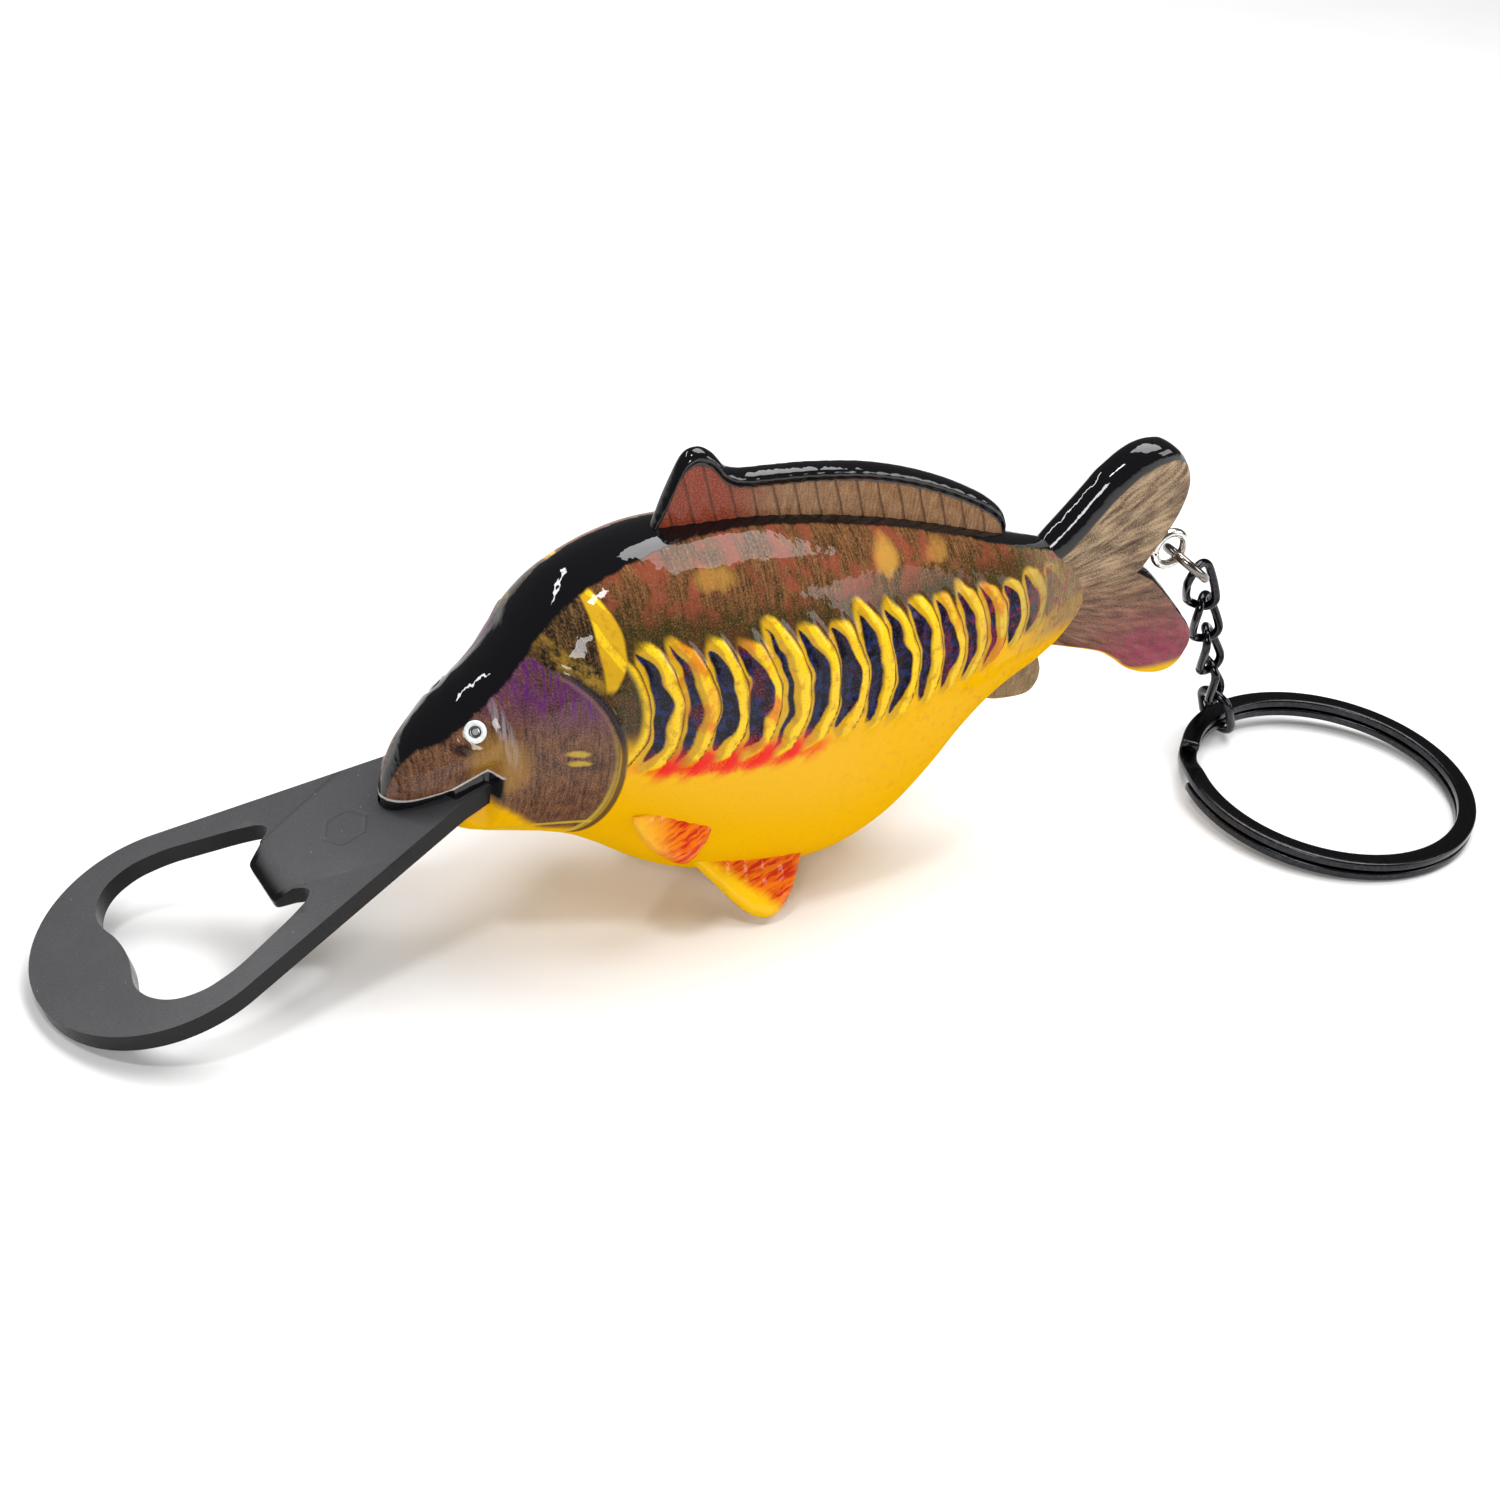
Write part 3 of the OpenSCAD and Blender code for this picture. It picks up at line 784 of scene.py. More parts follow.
def new_material(name):
    """A material with one Principled shader: returns it, its nodes and the shader."""
    mat = bpy.data.materials.new(name)
    mat.use_nodes = True
    return mat, Nodes(mat.node_tree), mat.node_tree.nodes["Principled BSDF"]


def object_mm(n):
    """Object coordinates in millimetres from the plate's round end."""
    shift = n.add("ShaderNodeVectorMath", operation="SUBTRACT")
    shifted = n.result(shift, (n.coordinates("Object"), start))
    return n.times(shifted, (1000, 1000, 1000))


# %% [markdown]
# The print on the carp is a coarse ink-jet pattern: fine grain, upright
# streaks, soft clouds and smaller patches, and a tone mixed from them. All the
# skin's materials use these fields, so they are one node group.

# %% Print grain
def print_fields(n, flat):
    grain = n.noise(flat, 5.5, 2.0, 0.7)
    streak = n.noise(n.times(flat, (3.2, 1, 0.35)), 1.0, 4.0, 0.6)
    cloud = n.noise(flat, 0.35, 3.0, 0.55)
    patch = n.noise(flat, 0.9, 3.0, 0.6)
    tone = streak * 0.45 + grain * 0.45 + patch * 0.28
    return grain, streak, cloud, patch, tone


print_grain = node_group("print_grain", [("Flat Position", "Vector")],
                         [(title, "Float") for title in ("Grain", "Streak", "Cloud", "Patch", "Tone")],
                         print_fields)


def speckled(n, colour, grit):
    """Pale and dark ink dots over a colour."""
    pale = n.mix(n.ramp(grit, 0.05, 0.8, 0.0, 0.20), colour, (0.60, 0.44, 0.26))
    return [n.mix(n.ramp(grit, -0.8, -0.05, 0.38, 0.0), pale, (0.01, 0.008, 0.008))]


print_speckle = node_group("print_speckle", [("Color", "Color"), ("Grit", "Float")],
                           [("Color", "Color")], speckled)


class SkinFields:
    """What the skin's paints are worked out from, at each point of the surface."""

    def __init__(self, n):
        self.position = object_mm(n)
        self.x, self.y, self.z = n.split(self.position)
        self.flat = n.vector(self.x, 0.0, self.z)
        self.grain, self.streak, self.cloud, self.patch, self.tone = n.group(print_grain, self.flat)
        self.wobble = (self.patch - 0.5) * 1.6
        self.grit = (self.grain - 0.5) * 2.0
        self.up = n.split(n.coordinates("Normal"))[2] + self.grit * 0.04


print("print fields", [item.name for item in print_grain.interface.items_tree])

# %% [markdown]
# The back is olive brown with red-brown clouds, darker just above the scales,
# and has a few golden spots. The belly is clean yellow near the head and
# dirtier towards the tail.

# %% Back and belly paint
RED = (0.75, 0.010, 0.006)
GOLDEN_SPOTS = [((73.5, 39.6), (1.5, 1.4), 0.7), ((53.0, 41.0), (2.2, 0.9), 0.4),
                ((80.5, 38.6), (1.6, 0.8), 0.35)]


def back_paint(n, s):
    paint = n.mix(n.ramp(s.tone, 0.42, 0.82), (0.020, 0.014, 0.006), (0.27, 0.115, 0.045))
    paint = n.mix(n.ramp(s.cloud, 0.48, 0.60, 0.0, 0.75), paint, (0.24, 0.055, 0.030))
    height = s.z + s.wobble * 1.6 + (s.x - 50.0) * 0.05
    shade = n.ramp(height, 40.0, 37.0) * n.ramp(s.grain, 0.75, 0.35, 0.35, 0.9)
    paint = n.mix(shade, paint, (0.020, 0.024, 0.006))
    for at, size, amount in GOLDEN_SPOTS:
        spot = n.spot(s.x, s.z + s.wobble, at, size, 0.8)
        paint = n.mix(spot * amount, paint, (0.55, 0.29, 0.05))
    return paint


def belly_paint(n, s):
    paint = n.mix(n.ramp(s.grain, 0.45, 0.85), (0.80, 0.43, 0.0), (0.62, 0.27, 0.0))
    dirt = n.ramp(s.patch, 0.5, 0.75) * n.ramp(s.x, 58, 92)
    return n.mix(dirt * 0.6, paint, (0.55, 0.20, 0.03))


# %% [markdown]
# The row of scales uses the same phase as the relief that was moulded into
# the trunk, so paint and relief lie over each other. Each scale is a yellow
# arc with a dark filling before it; chance makes the scales differ in width,
# height and how red they are.

# %% Scale paint
def scale_paint(n, s):
    """The row of scales: its fields and paints by name."""
    phase, v = scale_phase(s.x, s.z, n.smoothstep)
    rough_edge = (n.noise(s.flat, 0.30, 1.0, 0.4) - 0.5) * 0.5 + s.grit * 0.04
    within = n.math("FRACT", phase + rough_edge)
    index = n.math("FLOOR", phase + rough_edge)
    chance = n.chance(index)
    tip = v / (0.98 - chance * 0.20)
    taper = n.math("SQRT", n.math("SUBTRACT", 1.0, tip * tip, clamp=True))
    filling = n.ramp((chance * 0.42 + 0.26) * taper * 0.5 - abs(within - 0.32), -0.03, 0.05)
    scallop = within - 0.60
    height = 1.14 - chance * 0.14 - scallop * scallop * 0.9
    shown = n.fade(abs(v + rough_edge), height - 0.14, height)
    shown = shown * n.ramp(phase, -0.35, -0.1) * n.fade(s.x, 95, 101)
    yellow = n.mix(n.ramp(s.grain, 0.35, 0.8), (0.93, 0.62, 0.015), (0.62, 0.33, 0.02))
    yellow = n.mix(n.ramp(s.patch, 0.5, 0.72) * 0.55, yellow, (0.28, 0.10, 0.02))
    yellow = n.mix(n.ramp(s.x, 74, 96) * 0.5, yellow, (0.30, 0.25, 0.10))
    ink = n.mix(n.ramp(n.noise(s.flat, 1.3, 2.0), 0.45, 0.62), (0.006, 0.006, 0.012), (0.012, 0.018, 0.075))
    ink = n.mix(n.ramp(s.x, 70, 92) * n.ramp(s.patch, 0.5, 0.62), ink, (0.16, 0.012, 0.05))
    blush = n.ramp(n.chance(index + 17.3), 0.45, 0.75) * n.ramp(s.cloud, 0.42, 0.58)
    yellow = n.mix(blush * 0.7, yellow, (0.60, 0.10, 0.01))
    ink = n.mix(blush * n.ramp(s.grain, 0.45, 0.7), ink, (0.34, 0.012, 0.02))
    outline = n.ramp(abs(within - 0.74), 0.10, 0.17) * 0.6
    yellow = n.mix(outline, yellow, (0.42, 0.20, 0.01))
    paint = n.mix(n.ramp(within, 0.90, 0.97) * 0.9, yellow, (0.10, 0.05, 0.01))
    return {"v": v, "within": within, "rough_edge": rough_edge, "shown": shown,
            "yellow": yellow, "paint": n.mix(filling, paint, ink)}


# %% [markdown]
# Behind the head the body has a dark shoulder, a curved yellow bar, a red
# flush under the first scales and, near the tail, a magenta and tan wrist.

# %% Body paint
def shoulder_paint(n, s, body, row):
    above = s.z - 36.3
    bow = above * above * 0.045
    slant = s.x + above * 0.13 + bow
    dark = n.mix(n.ramp(s.tone, 0.5, 0.8), (0.012, 0.010, 0.008), (0.22, 0.11, 0.04))
    body = n.mix(n.fade(slant, 40.2, 41.0) * n.ramp(s.z, 31.5, 33.0), body, dark)
    nape = n.spot(s.x, s.z + s.x * 0.55, (38.2, 55.0), (3.2, 1.2), 0.6) * n.ramp(s.patch, 0.35, 0.6)
    body = n.mix(nape * 0.35, body, (0.55, 0.33, 0.03))
    bar = n.fade(abs(slant + row["rough_edge"] - 41.6) - (1.35 - bow), -0.25, 0.1)
    return n.mix(bar * n.fade(abs(above), 4.0, 4.8), body, row["yellow"])


def wrist_paint(n, s, body, row):
    paint = n.mix(n.ramp(s.tone, 0.40, 0.85), (0.14, 0.09, 0.05), (0.42, 0.30, 0.15))
    paint = n.mix(n.ramp(s.patch, 0.5, 0.66) * 0.7, paint, (0.22, 0.03, 0.07))
    rear = n.ramp(s.x + s.wobble * 1.5, 90, 100) * n.ramp(row["v"], -2.2, -1.2)
    return n.mix(rear * 0.85, body, paint)


def body_paint(n, s, belly):
    row = scale_paint(n, s)
    v, within = row["v"], row["within"]
    waterline = v + 0.55 + s.grit * 0.10 + s.wobble * 0.10
    body = n.mix(n.ramp(waterline, -0.25, 0.25), belly, back_paint(n, s))
    flush = n.spot(s.x, s.z + s.wobble, (54.5, 23.4), (10.0, 1.5), 0.6)
    body = n.mix(flush * n.ramp(s.grain, 0.3, 0.6, 0.6, 1.0), body, RED)
    body = n.mix(row["shown"], body, row["paint"])
    feet = n.fade(v, -1.05, -0.6) * n.ramp(v, -1.4, -1.0) * n.fade(within, 0.3, 0.6)
    body = n.mix(feet * n.ramp(s.x, 44, 47) * n.fade(s.x, 62, 66), body, RED)
    return wrist_paint(n, s, gill_groove(n, s, shoulder_paint(n, s, body, row)), row)


# %% [markdown]
# The head is brown with a purple crown, a pale streak behind the eye and two
# faint yellow marks on the cheek. A yellow rim and a dark groove follow the
# edge of the gill cover.

# %% Head paint
CHEEK_MARKS = [(38.4, 25.3), (38.6, 24.2)]


def gill_field(n, s):
    """Below 1 inside the gill cover, above 1 behind it, as the moulded groove has it."""
    up = s.z - GILL_Z
    gx = (s.x - GILL_X) / GILL_LENGTH
    gz = up / n.ramp(up, -0.5, 0.5, GILL_BELOW, GILL_ABOVE)
    return n.math("SQRT", gx * gx + gz * gz)


def gill_groove(n, s, body):
    gill = gill_field(n, s)
    groove = n.ramp(gill, 0.985, 1.01) * n.fade(gill, 1.03, 1.09) * n.ramp(s.x, 36, 38)
    return n.mix(groove * 0.85, body, (0.015, 0.012, 0.02))


def head_paint(n, s, belly):
    head = n.mix(n.ramp(s.tone, 0.40, 0.80), (0.020, 0.012, 0.014), (0.26, 0.12, 0.06))
    head = n.mix(n.ramp(s.z, 26.5, 31) * n.ramp(s.streak, 0.35, 0.65), head, (0.10, 0.015, 0.13))
    for at in CHEEK_MARKS:
        mark = n.spot(s.x, s.z + s.wobble * 0.4, at, (1.1, 0.34), 0.7)
        head = n.mix(mark * 0.6, head, (0.66, 0.46, 0.05))
    head = n.mix(n.spot(s.x, s.z, (28.3, 24.9), (0.9, 0.6), 0.7) * 0.85, head, (0.010, 0.006, 0.008))
    pale = n.spot(s.x + (s.z - 26.0) * 0.25, s.z, (32.2, 26.4), (0.7, 3.0), 0.8)
    head = n.mix(pale * n.ramp(s.streak, 0.35, 0.6) * 0.6, head, (0.30, 0.30, 0.36))
    head = n.mix(n.spot(s.x, s.z + s.wobble, (31.5, 23.5), (2.6, 3.0), 0.8) * 0.5, head, (0.42, 0.22, 0.03))
    rise = n.ramp(s.x, 38.0, 31.0, 0.0, 4.4) * n.ramp(s.x, 27.0, 29.0)
    head = n.mix(n.fade(s.z + s.wobble + s.grit * 0.6 - rise, 13.6, 15.4), head, belly)
    crease = n.fade(abs(s.z - 15.2 - (s.x - 34.0) * 0.12), 0.12, 0.35)
    head = n.mix(crease * 0.8, head, (0.60, 0.40, 0.03))
    gill = gill_field(n, s)
    rim = n.ramp(gill, 0.93, 0.965) * n.fade(gill, 0.97, 1.0) * n.ramp(s.z, 14, 30, 0.9, 0.1)
    return n.mix(rim * n.ramp(s.x, 36, 38), head, (0.55, 0.40, 0.05))


def trunk_paint(n, s):
    belly = belly_paint(n, s)
    in_head = n.math("MAXIMUM", n.fade(gill_field(n, s), 0.985, 1.0), n.fade(s.x, 32.5, 33.5))
    in_head = in_head * n.fade(s.x, 42.6, 42.9)
    return n.mix(in_head, body_paint(n, s, belly), head_paint(n, s, belly))


# %% [markdown]
# The tail's print has fine rays that spread from its root, plum on the lower
# lobe and a yellow underside. The dorsal fin is red-brown in front and tan
# behind, with dark ribs. The paired fins are orange with red rays.

# %% Fin paint
TAIL_ROOT = (92.0, 28.5)


def tail_paint(n, s):
    past, over = s.x - TAIL_ROOT[0], s.z - TAIL_ROOT[1]
    sweep = n.math("ARCTAN2", over, past) * 9.0
    reach = n.math("SQRT", past * past + over * over) * 0.10
    rays = n.vector(sweep, 0.0, reach)
    fine = n.noise(rays, 2.6, 3.0, 0.6) * 0.7 + s.grain * 0.5
    pale = n.mix(n.ramp(s.z, 34.0, 24.0), (0.50, 0.36, 0.22), (0.30, 0.15, 0.10))
    paint = n.mix(n.ramp(fine, 0.42, 0.80), (0.08, 0.05, 0.035), pale)
    paint = n.mix(n.ramp(n.noise(rays, 1.1, 2.0), 0.5, 0.66, 0.0, 0.6), paint, (0.07, 0.035, 0.03))
    plum = n.ramp(s.x, 102, 112) * n.ramp(s.z, 27, 19) * n.ramp(s.patch, 0.35, 0.6, 0.3, 0.75)
    paint = n.mix(plum, paint, (0.32, 0.055, 0.11))
    return n.mix(n.ramp(s.z, 17.6, 16.4) * n.ramp(s.x, 104, 108), paint, (0.80, 0.47, 0.01))


def dorsal_paint(n, s):
    ribs = n.math("FRACT", (s.x + s.z * 0.35) * 0.42)
    red = n.mix(n.ramp(s.grain, 0.4, 0.8), (0.20, 0.035, 0.02), (0.42, 0.11, 0.05))
    tan = n.mix(n.ramp(s.tone, 0.4, 0.85), (0.16, 0.07, 0.035), (0.46, 0.27, 0.13))
    paint = n.mix(n.ramp(s.x, 64, 56), tan, red)
    return n.mix(n.ramp(ribs, 0.80, 0.95, 0.0, 0.7), paint, (0.05, 0.02, 0.012))


def middle_fin_paint(n, s):
    on_back = n.ramp(s.z, 35.5, 37) * n.ramp(s.x, 97, 95)
    paint = n.mix(on_back, tail_paint(n, s), dorsal_paint(n, s))
    anal = n.mix(n.ramp(s.tone, 0.4, 0.85), (0.14, 0.09, 0.05), (0.40, 0.28, 0.14))
    return n.mix(n.ramp(s.z, 21.5, 20.5) * n.ramp(s.x, 101, 100.4), paint, anal)


def paired_fin_paint(n, s):
    along_ray = s.x * 0.9 + s.z * 1.5
    across_ray = s.z - s.x * 0.35
    rays = n.noise(n.times(n.vector(across_ray, 0.0, along_ray), (2.2, 1, 0.25)), 1.0)
    paint = n.mix(n.ramp(rays, 0.42, 0.60), (0.78, 0.17, 0.005), (0.55, 0.02, 0.008))
    lead = (s.x - 54.4) * 0.78 + (s.z - 8.0) + s.wobble
    paint = n.mix(n.fade(lead, 0.4, 2.2) * n.ramp(s.z, 10.5, 9.5), paint, (0.90, 0.53, 0.005))
    paint = n.mix(n.ramp(s.x, 50, 45) * n.ramp(s.z, 11.0, 12.0), paint, (0.85, 0.45, 0.03))
    return n.mix(n.ramp(s.grit, -0.2, 0.9, 0.0, 0.35), paint, (0.45, 0.12, 0.01))


# %% [markdown]
# The printed film does not reach round to the ridge of the back, which keeps
# the black base coat, nor under the belly, which keeps a yellow one. Black
# also fills the mouth, and tops the dorsal fin and the upper tail lobe.

# %% Black base coat
def trunk_black(n, s):
    half = n.ramp(s.x, 21.9, 28.0, 0.8, 3.7) + n.ramp(s.x, 42.0, 58.0, 0.0, -1.3)
    half = half + n.ramp(s.x, 88.0, 98.0, 0.0, -0.8)
    off = abs(s.y) + s.wobble * 0.5 - half + s.grit * 0.12
    ridge = n.fade(off, -0.15, 0.25) * n.ramp(s.up, 0.0, 0.12)
    plate_bottom = MOUTH_FLOOR + s.x * math.tan(PLATE_SLOPE)
    mouth = n.ramp(s.z - lip_height(s.x), 0.10, -0.10) * n.ramp(s.z - plate_bottom, -0.2, 0.2)
    return n.math("MAXIMUM", ridge, mouth * n.ramp(s.x, 32.1, 31.7))


def middle_fin_black(n, s):
    rim = Field(n, n.add("ShaderNodeAttribute", attribute_name="rim").outputs["Fac"])
    bead = n.ramp(rim, 0.30, 0.42) * n.ramp(s.x, 97, 95) * n.ramp(s.z, 35, 36)
    lobe_top = n.ramp(rim + s.grit * 0.05, 0.02, 0.14) * n.ramp(s.x, 96.5, 98) * n.ramp(s.z, 30.5, 33)
    return n.math("MAXIMUM", n.ramp(s.up, 0.45, 0.55), n.math("MAXIMUM", bead, lobe_top))


def lip_film_edge_and_painted_highlight(n, s):
    """The ragged pale edge of the film along the upper lip, which also serves as a painted highlight on the
    lip's edge.
    """
    line = n.fade(abs(s.z - lip_height(s.x) + s.grit * 0.08), 0.06, 0.18)
    return line * n.ramp(s.x, 32.1, 31.7) * 0.9


# %% [markdown]
# All three materials are the same lacquer over different paints: a matt print
# with a clear coat, thick on the back and black parts and thin underneath. A
# slow ripple in the coat breaks the reflections up.

# %% Carp skin
def carp_skin(name, paint, black=None, lip=None):
    """The lacquered skin over a paint, with a mask for black and one for the pale lip line, which is partly
    a painted highlight.
    """
    mat, n, shader = new_material(name)
    s = SkinFields(n)
    colour = n.group(print_speckle, paint(n, s), s.grit)[0]
    colour = n.mix(n.ramp(s.up, -0.62, -0.80), colour, (0.80, 0.45, 0.0))
    coat = n.ramp(s.up, -0.35, 0.10, 0.02, 0.45) * n.ramp(s.x, 64.0, 76.0, 1.0, 0.4)
    if black:
        black_here = black(n, s)
        colour = n.mix(black_here, colour, (0.004, 0.004, 0.005))
        coat = n.math("MAXIMUM", coat, black_here)
    if lip:
        # The pale lip line is partly the film's torn edge and partly a painted highlight along the lip's
        # edge.
        colour = n.mix(lip(n, s), colour, (0.60, 0.56, 0.52))
    ripple = n.bump(n.noise(s.position, 0.55, 2.0) + s.grain * 0.006, 0.10, 0.0008)
    n.fill(shader, {"Base Color": colour, "Roughness": 0.5, "Specular IOR Level": 0.0, "Coat Weight": coat,
                    "Coat Roughness": 0.02, "Coat IOR": 1.5, "Normal": ripple, "Coat Normal": ripple})
    return mat


trunk.data.materials.append(carp_skin("carp_skin_trunk", trunk_paint, trunk_black, lip_film_edge_and_painted_highlight))
middle_fins.data.materials.append(carp_skin("carp_skin_fins", middle_fin_paint, middle_fin_black))
paired_fins.data.materials.append(carp_skin("carp_skin_paired", paired_fin_paint))

# %% [markdown]
# The eye is pearl white with a black ring and a grey highlight in the middle.
# The rings follow the distance from the eye's own middle, so both eyes use one
# group with their own distance.

# %% Eye material
def ringed(n, position, distance):
    pearl = n.mix(n.ramp(n.noise(position, 2500), 0.35, 0.65), (0.85, 0.83, 0.78), (0.62, 0.70, 0.72))
    colour = n.mix(n.fade(distance, 0.60, 0.68), pearl, (0.015, 0.013, 0.014))
    colour = n.mix(n.fade(distance, 0.33, 0.39), colour, (0.30, 0.30, 0.31))
    return [n.mix(n.ramp(distance, 1.13, 1.2), colour, (0.05, 0.03, 0.04))]


eye_rings = node_group("eye_rings", [("Position", "Vector"), ("Distance", "Float")],
                       [("Color", "Color")], ringed)


def eye_material(name, centre):
    mat, n, shader = new_material(name)
    position = n.coordinates("Object")
    away = n.add("ShaderNodeVectorMath", operation="DISTANCE")
    distance = n.result(away, (position, place(*centre)), "Value") * 1000.0
    n.fill(shader, {"Base Color": n.group(eye_rings, position, distance)[0], "Roughness": 0.25,
                    "Coat Weight": 1.0, "Coat Roughness": 0.03})
    return mat


for piece, side in zip(eyes, (-1, 1)):
    spot, outward = skin_at(*EYE_AT, side)
    piece.data.materials.append(eye_material(piece.name + "_pearl", spot + outward * 0.25))

# %% [markdown]
# The plate is powder coated: nearly black, with a fine orange-peel texture
# and a few specks of dust, and glossier where the sheet was sheared. The sheared
# side walls also carry painted shade: their colour is darkened, as they face away
# from the light. A small six-sided mark is pressed into it.

# %% Plate material
MARK_AT = 20.0


def six_sided_mark(n, x, y, z):
    """1 in a narrow six-sided groove in the plate's top."""
    u = x * math.cos(PLATE_SLOPE) + (z - plate_height) * math.sin(PLATE_SLOPE) - MARK_AT
    turns = [math.radians(30 + 60 * k) for k in range(3)]
    first, second, third = (abs(u * math.cos(a) + y * math.sin(a)) for a in turns)
    reach = n.math("MAXIMUM", n.math("MAXIMUM", first, second), third)
    return n.ramp(reach, 1.75, 1.95) * n.fade(reach, 2.2, 2.4)


def coated_steel(name, base, rough):
    mat, n, shader = new_material(name)
    position = object_mm(n)
    fine = n.noise(position, 7.0, 2.0, 0.6)
    broad = n.noise(position, 0.25, 2.0)
    colour = n.mix(n.ramp(fine, 0.40, 0.75), base, tuple(c * 1.45 + 0.006 for c in base))
    cells = n.add("ShaderNodeTexVoronoi")
    n.fill(cells, {"Vector": position, "Scale": 0.55})
    dust = n.ramp(Field(n, cells.outputs["Distance"]), 0.030, 0.045, 0.5, 0.0)
    colour = n.mix(dust, colour, (0.45, 0.45, 0.46))
    sheared_gloss_and_painted_shade = n.ramp(abs(n.split(n.coordinates("Normal"))[2]), 0.86, 0.70)
    # Painted shade: the side walls' colour is darkened because they face away from the light; the same mask
    # also makes them glossier.
    colour = n.mix(sheared_gloss_and_painted_shade, colour, tuple(c * 0.16 for c in base))
    dull = n.ramp(broad, 0.3, 0.7, rough - 0.04, rough + 0.05)
    height = fine - six_sided_mark(n, *n.split(position)) * 3.0
    n.fill(shader, {"Base Color": colour, "Roughness": dull - sheared_gloss_and_painted_shade * (rough * 0.45),
                    "Specular IOR Level": 0.5 - sheared_gloss_and_painted_shade * 0.35, "Coat Weight": 0.1,
                    "Coat Roughness": 0.18, "Normal": n.bump(height, 0.25, 0.00012)})
    return mat


plate.data.materials.append(coated_steel("black_powder_coat", (0.038, 0.038, 0.041), 0.42))

# %% [markdown]
# The chain and rings are plated wire. The plating is rubbed a little lighter
# in places and its gloss varies, which is one group for all four finishes.

# %% Plated wire
def plating(n, position, base, light, rough):
    wear = n.noise(position, 1.8, 4.0, 0.6)
    fine = n.noise(position, 9.0, 2.0, 0.6)
    colour = n.mix(n.ramp(wear, 0.45, 0.7), base, light)
    return colour, n.ramp(fine, 0.3, 0.7, rough * 0.8, rough * 1.3), wear


rubbed_plating = node_group(
    "rubbed_plating",
    [("Position", "Vector"), ("Base", "Color"), ("Light", "Color"), ("Gloss", "Float")],
    [("Color", "Color"), ("Roughness", "Float"), ("Height", "Float")], plating)


def plated_wire(name, base, rough):
    mat, n, shader = new_material(name)
    light = tuple(c * 1.4 + 0.004 for c in base)
    colour, dull, wear = n.group(rubbed_plating, object_mm(n), base, light, rough)
    n.fill(shader, {"Base Color": colour, "Roughness": dull, "Metallic": 1.0,
                    "Normal": n.bump(wear, 0.15, 0.00008)})
    return mat


black_nickel = plated_wire("black_nickel", (0.030, 0.030, 0.034), 0.12)
for piece in links + [end_link]:
    piece.data.materials.append(black_nickel)
for piece, name, base, rough in (
        (split_ring, "satin_black_nickel", (0.030, 0.030, 0.033), 0.20),
        (jump_ring, "gunmetal", (0.20, 0.18, 0.165), 0.18),
        (screw_eye, "bright_nickel", (0.66, 0.64, 0.60), 0.14)):
    piece.data.materials.append(plated_wire(name, base, rough))
print("materials", sorted(material.name for material in bpy.data.materials))

# %% [markdown]
# Each piece takes the place of the model's node and moves with its body.

# %% Tie the pieces to the model
for piece in (trunk, middle_fins, paired_fins, *eyes):
    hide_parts("fish_body")
    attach(piece, "opener")
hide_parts("opener_plate")
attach(plate, "opener")
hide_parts("tail_screw_eye")
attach(screw_eye, "opener")
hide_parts("jump_ring")
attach(jump_ring, "jump")
for i, piece in enumerate(links, 1):
    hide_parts(f"chain_link_{i}")
    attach(piece, f"link_{i}")
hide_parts("end_link")
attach(end_link, "end")
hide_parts("split_ring")
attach(split_ring, "ring")

# %% [markdown]
# A pale floor, a big soft light above, a smaller one from the side and a low
# fill make the clear coat show long soft reflections.

# %% Floor, lights and camera
bm = bmesh.new()
bmesh.ops.create_grid(bm, x_segments=2, y_segments=2, size=3.0)
floor = finish_mesh(bm, "pale_floor")
floor.data.transform(Matrix.Translation((0, 0, -0.00002)))
floor_mat, n, shader = new_material("pale_floor")
blotches = n.ramp(n.noise(n.coordinates("Object"), 40.0), 0.3, 0.7)
n.fill(shader, {"Base Color": n.mix(blotches, (0.86, 0.86, 0.86), (0.88, 0.88, 0.88)), "Roughness": 0.7})
floor.data.materials.append(floor_mat)

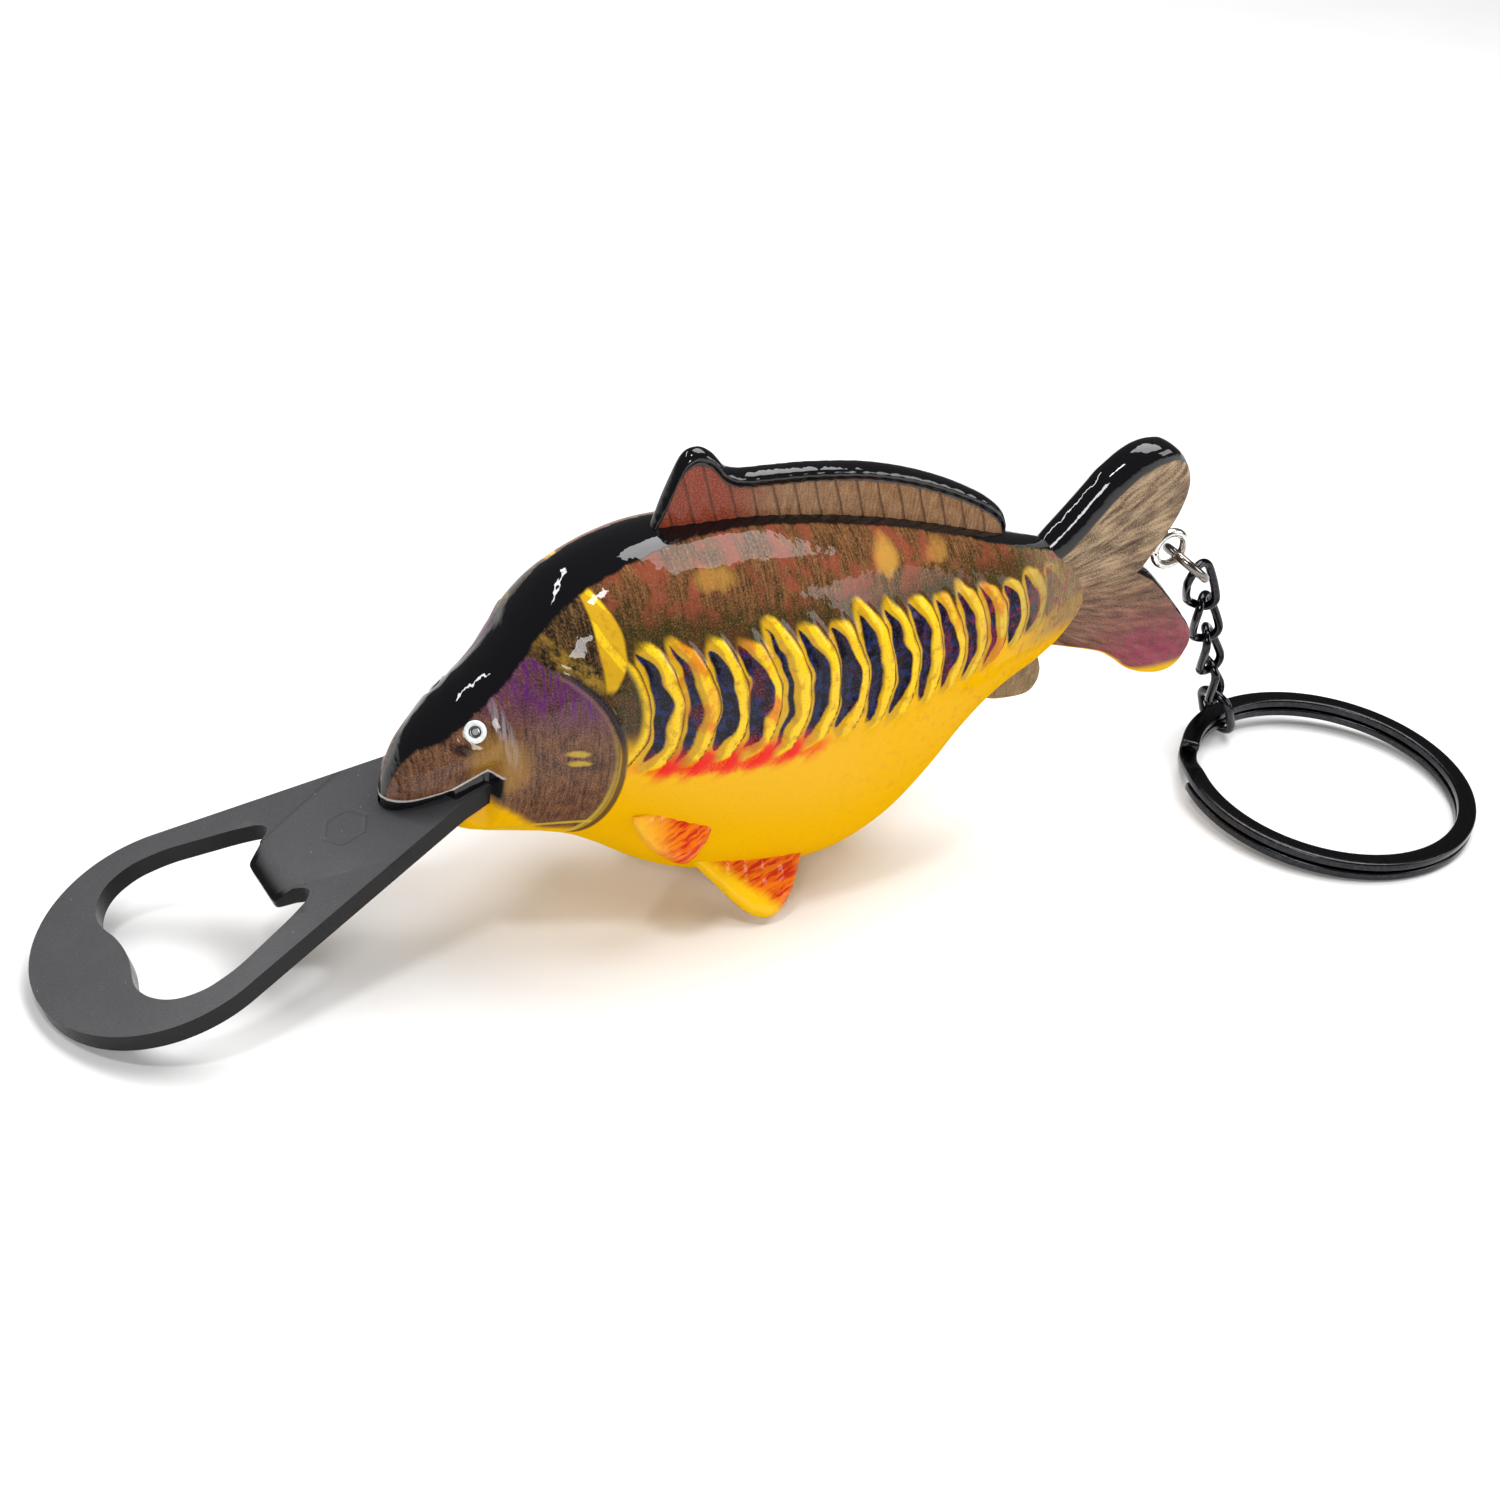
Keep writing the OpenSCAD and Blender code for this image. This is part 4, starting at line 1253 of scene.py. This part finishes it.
world = bpy.data.worlds.new("studio")
bpy.context.scene.world = world
world.use_nodes = True
world.node_tree.nodes["Background"].inputs[0].default_value = (1, 1, 1, 1)
world.node_tree.nodes["Background"].inputs[1].default_value = 0.11


def soft_light(name, spot, target, size, power, size_y=None):
    """A rectangular area light aimed at a point."""
    data = bpy.data.lights.new(name, "AREA")
    data.shape = "RECTANGLE"
    data.size, data.size_y = size, size_y or size
    data.energy = power
    lamp = bpy.data.objects.new(name, data)
    lamp.location = spot
    lamp.rotation_mode = "QUATERNION"
    lamp.rotation_quaternion = (Vector(target) - Vector(spot)).to_track_quat("-Z", "Y")
    bpy.context.scene.collection.objects.link(lamp)
    return lamp


soft_light("overhead_softbox", (0.16, 0.06, 0.50), (0, 0, 0.02), 0.50, 3.4, 0.32)
soft_light("front_softbox", (-0.34, -0.42, 0.34), (0, 0, 0.02), 0.16, 1.5, 0.16)
soft_light("small_key", (-0.20, -0.12, 0.52), (0, 0, 0.02), 0.07, 0.7, 0.07)
soft_light("right_fill", (0.45, -0.30, 0.22), (0, 0, 0.02), 0.25, 1.0)
soft_light("ridge_strip", (-0.25, 0.28, 0.31), (-0.045, 0, 0.03), 0.24, 0.3, 0.02)

turn, tilt, roll = math.radians(33), math.radians(32), math.radians(-8)
level_right = Vector((math.cos(turn), -math.sin(turn), 0))
ahead = Vector((math.sin(turn) * math.cos(tilt), math.cos(turn) * math.cos(tilt), -math.sin(tilt)))
level_up = level_right.cross(ahead)
cam_right = level_right * math.cos(roll) - level_up * math.sin(roll)
cam_up = level_right * math.sin(roll) + level_up * math.cos(roll)
cam_data = bpy.data.cameras.new("camera")
cam_data.lens = 72
cam_data.sensor_width = 36
cam_data.clip_start, cam_data.clip_end = 0.01, 20
camera = bpy.data.objects.new("camera", cam_data)
bpy.context.scene.collection.objects.link(camera)
camera.rotation_mode = "QUATERNION"
camera.rotation_quaternion = Matrix((cam_right, cam_up, -ahead)).transposed().to_quaternion()
camera.location = place(-81.9, -225.0, 182.4)
bpy.context.scene.camera = camera
bpy.context.scene.view_settings.view_transform = "Standard"
print("camera at", [round(c, 3) for c in camera.location])
